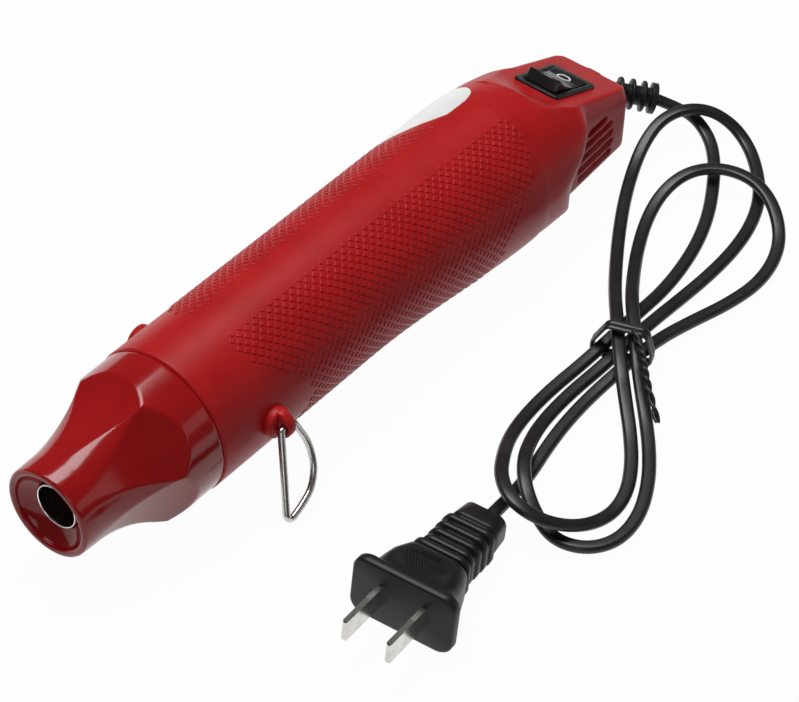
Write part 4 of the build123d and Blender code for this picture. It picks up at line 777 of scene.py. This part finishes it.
# %% Plug
plug_across = np.array((-math.sin(plug_heading), math.cos(plug_heading), 0))
plug_up = np.cross(plug_ahead, plug_across)
plug_axes = (plug_ahead, plug_across, plug_up)
sleeve_start, body_corner, sleeve_corner = 18.8, 4.0, 3.0
rib_start, rib_pitch, rib_count = 20.3, 3.3, 4
plug_rows = [
    (0.0, 28.4, 16.4), (0.25, 29.4, 17.4), (0.8, 30, 18), (2.7, 30, 18), (3.25, 29.4, 17.4),
    (3.5, 28.4, 16.4), (3.6, 24.2, 16.0), (4.2, 23.2, 15.6), (8.0, 22.4, 15.5), (11.3, 21.4, 15.3),
    (14.5, 19.2, 14.2), (15.6, 18.4, 13.8), (15.9, 17.6, 13.2), (16.0, 14.8, 10.8), (16.9, 14.8, 10.8),
    (17.0, 16.8, 12.2), (17.3, 17.4, 12.8), (18.9, 16.6, 12.5), (19.2, 16.0, 12.0), (19.25, 13.2, 9.2),
]
rib_profile = (
    (0, 12.8, 8.8), (0.05, 14.6, 10.6), (0.3, 15.2, 11.2), (1.9, 15.0, 11.0), (2.15, 14.4, 10.4),
    (2.2, 12.8, 8.8),
)
for rib in range(rib_count):
    rib_at = rib_start + rib * rib_pitch
    plug_rows += [(rib_at + behind, width, height) for behind, width, height in rib_profile]
plug_rows += [
    (33.6, 12.8, 8.8), (33.65, 13.4, 9.9), (34.4, 13.5, 10), (39.5, 12.6, 9.4), (40.0, 11.6, 8.4),
    (40.05, 5, 3.4),
]
plug_grid = []
for behind, width, height in plug_rows:
    outline = rounded_rectangle(width, height, body_corner if behind < sleeve_start else sleeve_corner)
    plug_grid.append(on_axes(plug_face, (-behind, outline[:, :1], outline[:, 1:]), plug_axes))
grid_piece("plug_shell", np.array(plug_grid) * mm, slot="black", replaces=("plug_body",))

# %% [markdown]
# An oval field of fine dots on top of the plug gives the fingers a grip. The dots are small studs of three
# rings, in rows that are shifted by half a pitch, and only those inside the oval are kept.

# %% Grip dots on the plug
dots_middle, dots_half_length, dots_half_width = 9.8, 4.2, 6.0
dot_pitch, dot_side_pitch = 0.72, 0.9
plug_half_height, taper_start, taper_rate, taper_power = 15.5 / 2, 8, 0.028, 1.4
dot_rings = ((0.3, -0.2), (0.3, 0.1), (0.16, 0.3))
dot_row, dot_column = np.meshgrid(np.arange(-6, 7), np.arange(-7, 8), indexing="ij")
dot_along = dots_middle + dot_row * dot_pitch
dot_sideways = (dot_column + 0.5 * (dot_row % 2)) * dot_side_pitch
oval = ((dot_along - dots_middle) / dots_half_length) ** 2 + (dot_sideways / dots_half_width) ** 2
dot_along, dot_sideways = dot_along[oval <= 1][:, None], dot_sideways[oval <= 1][:, None]
dot_height = plug_half_height - taper_rate * np.maximum(dot_along - taper_start, 0) ** taper_power
dot_levels = []
for radius, lift in dot_rings:
    centres = on_axes(plug_face, (-dot_along, dot_sideways, dot_height + lift), plug_axes)
    ring = circle(8)[:, :1] * plug_ahead + circle(8)[:, 1:] * plug_across
    dot_levels.append(centres[:, None] + radius * ring)
studs("plug_dots", np.stack(dot_levels, 1) * mm, slot="black")

# %% [markdown]
# The strain relief is a soft ribbed sleeve that bends with the cord where it leaves the tail. It follows
# its own short spline. Its section is a circle whose radius swells at each rib, and a collar sits against
# the tail's rear face.

# %% Strain relief
boot_points = [(113.8, 0, 12.4), (118, 0, 12.4), (124.85, 0, 12.4), cord_points[0]]
boot_line = smooth_line(boot_points, "boot_guide", 40)
sleeve_radius, rib_rise, boot_rib_pitch, rib_edge = 2.9, 1.7, 3.5, 0.15
rib_lengths = (1.9, 1.0, 1.0, 1.0)
boot_collar, collar_front, collar_rear = 5.1, 6.3, 7.6
boot_at = np.concatenate(([0], np.cumsum(np.linalg.norm(np.diff(boot_line, axis=0), axis=1)))) / mm
samples = np.linspace(0, boot_at[-1], 150)
boot_path = np.stack([np.interp(samples, boot_at, boot_line[:, k]) for k in range(3)], -1)
from_end = boot_at[-1] - samples
boot_radius = np.full(len(samples), sleeve_radius)
for rib, rib_length in enumerate(rib_lengths):
    near = rib * boot_rib_pitch
    inside_rib = np.minimum(from_end - near, near + rib_length - from_end)
    rise = np.sqrt(np.clip(inside_rib / rib_edge + 0.5, 0, 1))
    boot_radius = np.maximum(boot_radius, sleeve_radius + rib_rise * rise)
boot_radius = np.where((samples > collar_front) & (samples < collar_rear), boot_collar, boot_radius)
boot_ring = swept(boot_path, circle(20)) - boot_path[:, None]
boot_grid = boot_path[:, None] + boot_ring * (boot_radius * mm)[:, None, None]
grid_piece("relief_boot", boot_grid, slot="black", replaces=("strain_relief",))

# %% [markdown]
# The twist tie is a thin black strip that goes twice round the strands and ends in a twisted pair. Each
# turn is a flat section carried round a rounded outline over the strands. The two strands of the end go
# round their common line by a sine and a cosine.

# %% Twist tie
tie_lean = math.radians(110)
tie_across = np.array((math.cos(tie_lean), math.sin(tie_lean), 0))
tie_along = np.array((math.sin(tie_lean), -math.cos(tie_lean), 0))
tie_place = np.array((47, -64, 0))
tie_half_width, tie_half_thickness, tie_spacing = 0.95, 0.5, 0.9
tie_corners = [(-8.3, 0.65), (8.3, 0.65), (8.3, 4.6), (4.6, 11.4), (-6.3, 11.4), (-8.3, 4.6)]
tie_outline = rounded(tie_corners, 2.2, steps=8)
tie_section = circle(20) * (tie_half_width, tie_half_thickness) * mm
for number, shift in enumerate((-tie_spacing, tie_spacing)):
    shares = (tie_outline[:, :1], tie_outline[:, 1:], shift)
    loop = on_axes(tie_place, shares, (tie_across, z_axis, tie_along))
    loop_grid = swept(loop * mm, tie_section[:, ::-1], closed=True, side=tie_along)
    grid_piece("tie_loop_" + str(number), loop_grid, closed_rows=True, caps=False, slot="cord",
               replaces=("twist_tie",) if number == 0 else ())

# %% Twisted end of the tie
strand_radius, twist_turn = 0.5, 26
tie_end_points = [(47.8, -66.3, 11.4), (42.5, -73.0, 11.6), (35.0, -80.0, 9.6), (28.5, -88.5, 5.4)]
tie_end = smooth_line(tie_end_points, "tie_guide", 40)
twist = np.linspace(0, twist_turn, len(tie_end))[:, None]
beside, above = (swept(tie_end, strand_radius * np.eye(2) * mm) - tie_end[:, None]).transpose(1, 0, 2)
for number, phase in enumerate((0, math.pi)):
    strand = tie_end + beside * np.cos(twist + phase) + above * np.sin(twist + phase)
    grid_piece("tie_strand_" + str(number), swept(strand, strand_radius * circle(20) * mm), slot="cord")

# %% [markdown]
# The cord is now built: it leaves the tail with its length and thickness set above, and it ends in the
# plug, with the tie round its strands.

print("cord built with its plug and tie")

# %% [markdown]
# Materials are written as expressions. A small class wraps the output of a node, and its operators add the
# Math nodes, so a sum in Python becomes a sum in the material. Another class holds a tree of nodes and adds
# any other node with its settings and sockets.

# %% Shader helpers


class Value:
    """A socket of numbers that can be used in sums."""

    def __init__(self, tree, socket):
        self.tree, self.socket = tree, socket

    def math(self, operation, other):
        """The result of a Math node on this value and another."""
        return self.tree.node("ShaderNodeMath", {"operation": operation}, {0: self, 1: other})

    def __add__(self, other):
        return self.math("ADD", other)

    def __mul__(self, other):
        return self.math("MULTIPLY", other)

    __radd__, __rmul__ = __add__, __mul__


class Nodes:
    """The nodes of a material or of the world, with one method that adds any node."""

    def __init__(self, tree):
        self.nodes, self.links = tree.nodes, tree.links

    def node(self, kind, settings, values, output=0):
        """A node of a kind. Its sockets take the values, or links where these are outputs of nodes."""
        made = self.nodes.new(kind)
        for key, value in settings.items():
            setattr(made, key, value)
        for key, value in values.items():
            if isinstance(value, Value):
                self.links.new(value.socket, made.inputs[key])
            else:
                made.inputs[key].default_value = value
        return Value(self, made.outputs[output])

    def seen_by(self, *kinds):
        """1 for rays of the given kinds, such as Camera, and 0 for all others."""
        rays = [self.node("ShaderNodeLightPath", {}, {}, "Is " + kind + " Ray") for kind in kinds]
        found = rays[0]
        for ray in rays[1:]:
            found = found.math("MAXIMUM", ray)
        return found


class Finish(Nodes):
    """A material with its Principled shader."""

    def __init__(self, name, **fixed):
        self.material = bpy.data.materials.new(name)
        self.material.use_nodes = True
        super().__init__(self.material.node_tree)
        self.shader = self.nodes["Principled BSDF"]
        for socket, value in fixed.items():
            self.shader.inputs[socket.replace("_", " ")].default_value = value

    def noise(self, scale, detail=2.0):
        """Soft noise from 0 to 1 on the piece's own places, with a number of waves to the metre."""
        place = self.node("ShaderNodeTexCoord", {}, {}, "Object")
        return self.node("ShaderNodeTexNoise", {}, {"Vector": place, "Scale": scale, "Detail": detail})

    def feed(self, socket, value):
        """Links a value to a socket of the shader."""
        self.links.new(value.socket, self.shader.inputs[socket])

    def bump(self, scale, strength, distance):
        """Small hills from noise, as high as the distance in metres."""
        values = {"Height": self.noise(scale), "Strength": strength, "Distance": distance}
        self.feed("Normal", self.node("ShaderNodeBump", {}, values))

    def colour(self, first, second, scale):
        """Two close colours that change over in spots. Sockets 6, 7 and 2 are the Mix node's colours."""
        spots = {"Value": self.noise(scale, 4), "From Min": 0.35, "From Max": 0.65}
        mask = self.node("ShaderNodeMapRange", {}, spots)
        self.feed("Base Color", self.node(
            "ShaderNodeMix", {"data_type": "RGBA"}, {0: mask, 6: (*first, 1), 7: (*second, 1)}, 2))


# %% [markdown]
# The nozzle cover is glossy dark red plastic, and the handle is a lighter red in satin with a very fine
# grain. A single colour would look like paint on a screen, so each finish mixes two close colours in spots,
# and its roughness or a bump adds the grain that the real surface shows.

# %% Red finishes
glossy_red = Finish("glossy_red", Roughness=0.15, Specular_IOR_Level=0.35, Coat_Weight=0.12,
                    Coat_Roughness=0.05)
glossy_red.colour((0.33, 0.005, 0.006), (0.39, 0.007, 0.008), 60)
glossy_red.bump(170, 0.05, 0.0004)

satin_red = Finish("satin_red", Roughness=0.38, Specular_IOR_Level=0.2)
satin_red.colour((0.44, 0.009, 0.011), (0.50, 0.012, 0.014), 90)
satin_red.feed("Roughness", satin_red.noise(700, 3) * 0.16 + 0.30)
satin_red.bump(5200, 0.35, 0.00006)
print("red finishes made")

# %% [markdown]
# The metals are a chromed outlet, drawn steel wire, plated blades, and the brass and heater wire inside.
# Metal shows its surroundings, so a change in roughness tells more than one in colour.

# %% Metal finishes
bright_chrome = Finish("chromed_tube", Metallic=1.0, Roughness=0.14)
bright_chrome.colour((0.78, 0.78, 0.79), (0.7, 0.69, 0.68), 200)

drawn_steel = Finish("drawn_steel", Metallic=1.0, Roughness=0.24)
drawn_steel.colour((0.66, 0.65, 0.63), (0.52, 0.51, 0.49), 900)
drawn_steel.feed("Roughness", drawn_steel.noise(1500, 3) * 0.2 + 0.14)
drawn_steel.bump(3000, 0.1, 0.00004)

plated_blade = Finish("plated_blade", Metallic=1.0, Roughness=0.2)
plated_blade.colour((0.72, 0.70, 0.66), (0.60, 0.58, 0.54), 300)
plated_blade.bump(1800, 0.08, 0.00004)

stamped_brass = Finish("stamped_brass", Metallic=1.0, Roughness=0.28)
stamped_brass.colour((0.66, 0.48, 0.22), (0.74, 0.56, 0.3), 600)

heater_wire = Finish("heater_wire", Metallic=1.0, Roughness=0.4)
heater_wire.colour((0.3, 0.27, 0.24), (0.42, 0.38, 0.33), 700)
print("metal finishes made")

# %% [markdown]
# The switch, the plug and the cord are black. Moulded plastic has a fine grain, the rocker is polished, and
# the cord's rubbery jacket has a soft shine along its lobes.

# %% Black finishes
black_plastic = Finish("black_plastic", Roughness=0.42, Specular_IOR_Level=0.35)
black_plastic.colour((0.008, 0.008, 0.009), (0.013, 0.013, 0.014), 120)
black_plastic.bump(4200, 0.3, 0.00006)

gloss_black = Finish("gloss_black", Roughness=0.22)
gloss_black.colour((0.012, 0.012, 0.013), (0.016, 0.016, 0.018), 90)

cord_black = Finish("cord_black", Roughness=0.34)
cord_black.colour((0.010, 0.010, 0.011), (0.018, 0.018, 0.019), 150)
cord_black.bump(2600, 0.2, 0.00006)
print("black finishes made")

# %% [markdown]
# The label and the parts inside need only two close colours and a roughness each, so a loop makes them from
# a short table.

# %% Label and inner finishes
plain_finishes = {}
for name, roughness, first, second, scale in (
    ("white_film", 0.3, (0.88, 0.88, 0.87), (0.93, 0.93, 0.92), 120),
    ("mica_sheet", 0.55, (0.62, 0.53, 0.38), (0.72, 0.65, 0.5), 500),
    ("board_laminate", 0.5, (0.30, 0.2, 0.08), (0.38, 0.26, 0.11), 400),
    ("dipped_film", 0.3, (0.5, 0.08, 0.05), (0.58, 0.11, 0.07), 200),
    ("wire_sleeve", 0.4, (0.7, 0.7, 0.67), (0.78, 0.78, 0.75), 300),
    ("ferrite", 0.7, (0.07, 0.07, 0.075), (0.1, 0.1, 0.105), 500),
):
    plain_finishes[name] = Finish(name, Roughness=roughness)
    plain_finishes[name].colour(first, second, scale)
print("plain finishes:", ", ".join(plain_finishes))

# %% [markdown]
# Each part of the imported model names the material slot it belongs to, and so does each new piece. One table
# from slot to finish therefore dresses everything. Only the plug's blades differ from their slot, because
# they are plated.

# %% Finishes on the pieces
by_slot = {
    "cover": glossy_red, "grip": satin_red, "steel": drawn_steel, "outlet": bright_chrome,
    "coil": heater_wire, "brass": stamped_brass, "duct": black_plastic, "black": black_plastic,
    "rocker": gloss_black, "diode": gloss_black, "cord": cord_black, "mica": plain_finishes["mica_sheet"],
    "board": plain_finishes["board_laminate"], "film": plain_finishes["dipped_film"],
    "magnet": plain_finishes["ferrite"], "wire": plain_finishes["wire_sleeve"],
    "label": plain_finishes["white_film"],
}
for part in frame["record"]["subparts"]:
    node = frame["nodes"][part["node"]]
    finish = plated_blade if part["node"] == "plug_blades" else by_slot[part["material_slot"]]
    if not node.material_slots:
        node.data.materials.append(None)
    for spot in node.material_slots:
        spot.material = finish.material
for piece, slot in made_pieces:
    piece.data.materials.append(by_slot[slot].material)
print("pieces dressed:", len(frame["nodes"]) + len(made_pieces))

# %% [markdown]
# The table is white. Its own pale grey catches soft shadows, and a plain white light lifts it to the paper
# white of a product picture. Only the camera, reflections and views through glass see that light, so it
# doesn't change how the tool is lit.

# %% Table
span, table_level, table_glow = 3.0, -0.0002, 0.97
table_mesh = bpy.data.meshes.new("table")
table_sides = ((-1, -1), (1, -1), (1, 1), (-1, 1))
table_corners = [(side_x * span, side_y * span, table_level) for side_x, side_y in table_sides]
table_mesh.from_pydata(table_corners, [], [(0, 1, 2, 3)])
table_top = bpy.data.objects.new("table", table_mesh)
bpy.context.scene.collection.objects.link(table_top)
table_white = Finish("table_white", Base_Color=(0.55, 0.55, 0.55, 1), Roughness=0.6)
glow_share = table_white.seen_by("Camera", "Glossy", "Transmission") * table_glow
painted = Value(table_white, table_white.shader.outputs[0])
glow = table_white.node("ShaderNodeEmission", {}, {})
mixed = table_white.node("ShaderNodeMixShader", {}, {0: glow_share, 1: painted, 2: glow})
table_white.links.new(mixed.socket, table_white.nodes["Material Output"].inputs["Surface"])
table_mesh.materials.append(table_white.material)
print("table of", 2 * span, "m")

# %% [markdown]
# The world is white for the camera and for views through glass. Reflections see it dim, because a white
# world in them makes the reds paler than the real ones. Three soft lamps light the tool: a strong one
# above, and two weak ones that put a sheen on the nozzle and the near side.

# %% World and lamps
world_seen, world_dim = 0.9, 0.09
world = bpy.data.worlds.new("studio")
bpy.context.scene.world = world
world.use_nodes = True
sky = Nodes(world.node_tree)
background = sky.nodes["Background"]
background.inputs["Color"].default_value = (1, 1, 1, 1)
sky_strength = sky.seen_by("Camera", "Transmission") * world_seen + world_dim
sky.links.new(sky_strength.socket, background.inputs["Strength"])


def area_light(name, place, target, size, power):
    """A rectangular soft light at a place that looks at a target."""
    data = bpy.data.lights.new(name, "AREA")
    data.shape = "RECTANGLE"
    data.size, data.size_y = size
    data.energy = power
    lamp = bpy.data.objects.new(name, data)
    bpy.context.scene.collection.objects.link(lamp)
    lamp.location = place
    lamp.rotation_mode = "QUATERNION"
    lamp.rotation_quaternion = (Vector(target) - Vector(place)).to_track_quat("-Z", "Y")
    print("lamp", name, power, "W")


area_light("key", (0.1, 0.35, 1.1), (0, 0, 0), (0.9, 0.5), 11.5)
area_light("side", (-0.9, -0.5, 0.6), (-0.05, 0, 0), (0.5, 0.5), 1.0)
area_light("near", (0.5, -1.0, 0.5), (0.05, -0.03, 0), (0.7, 0.3), 0.45)
bpy.context.scene.view_settings.view_transform = "Standard"
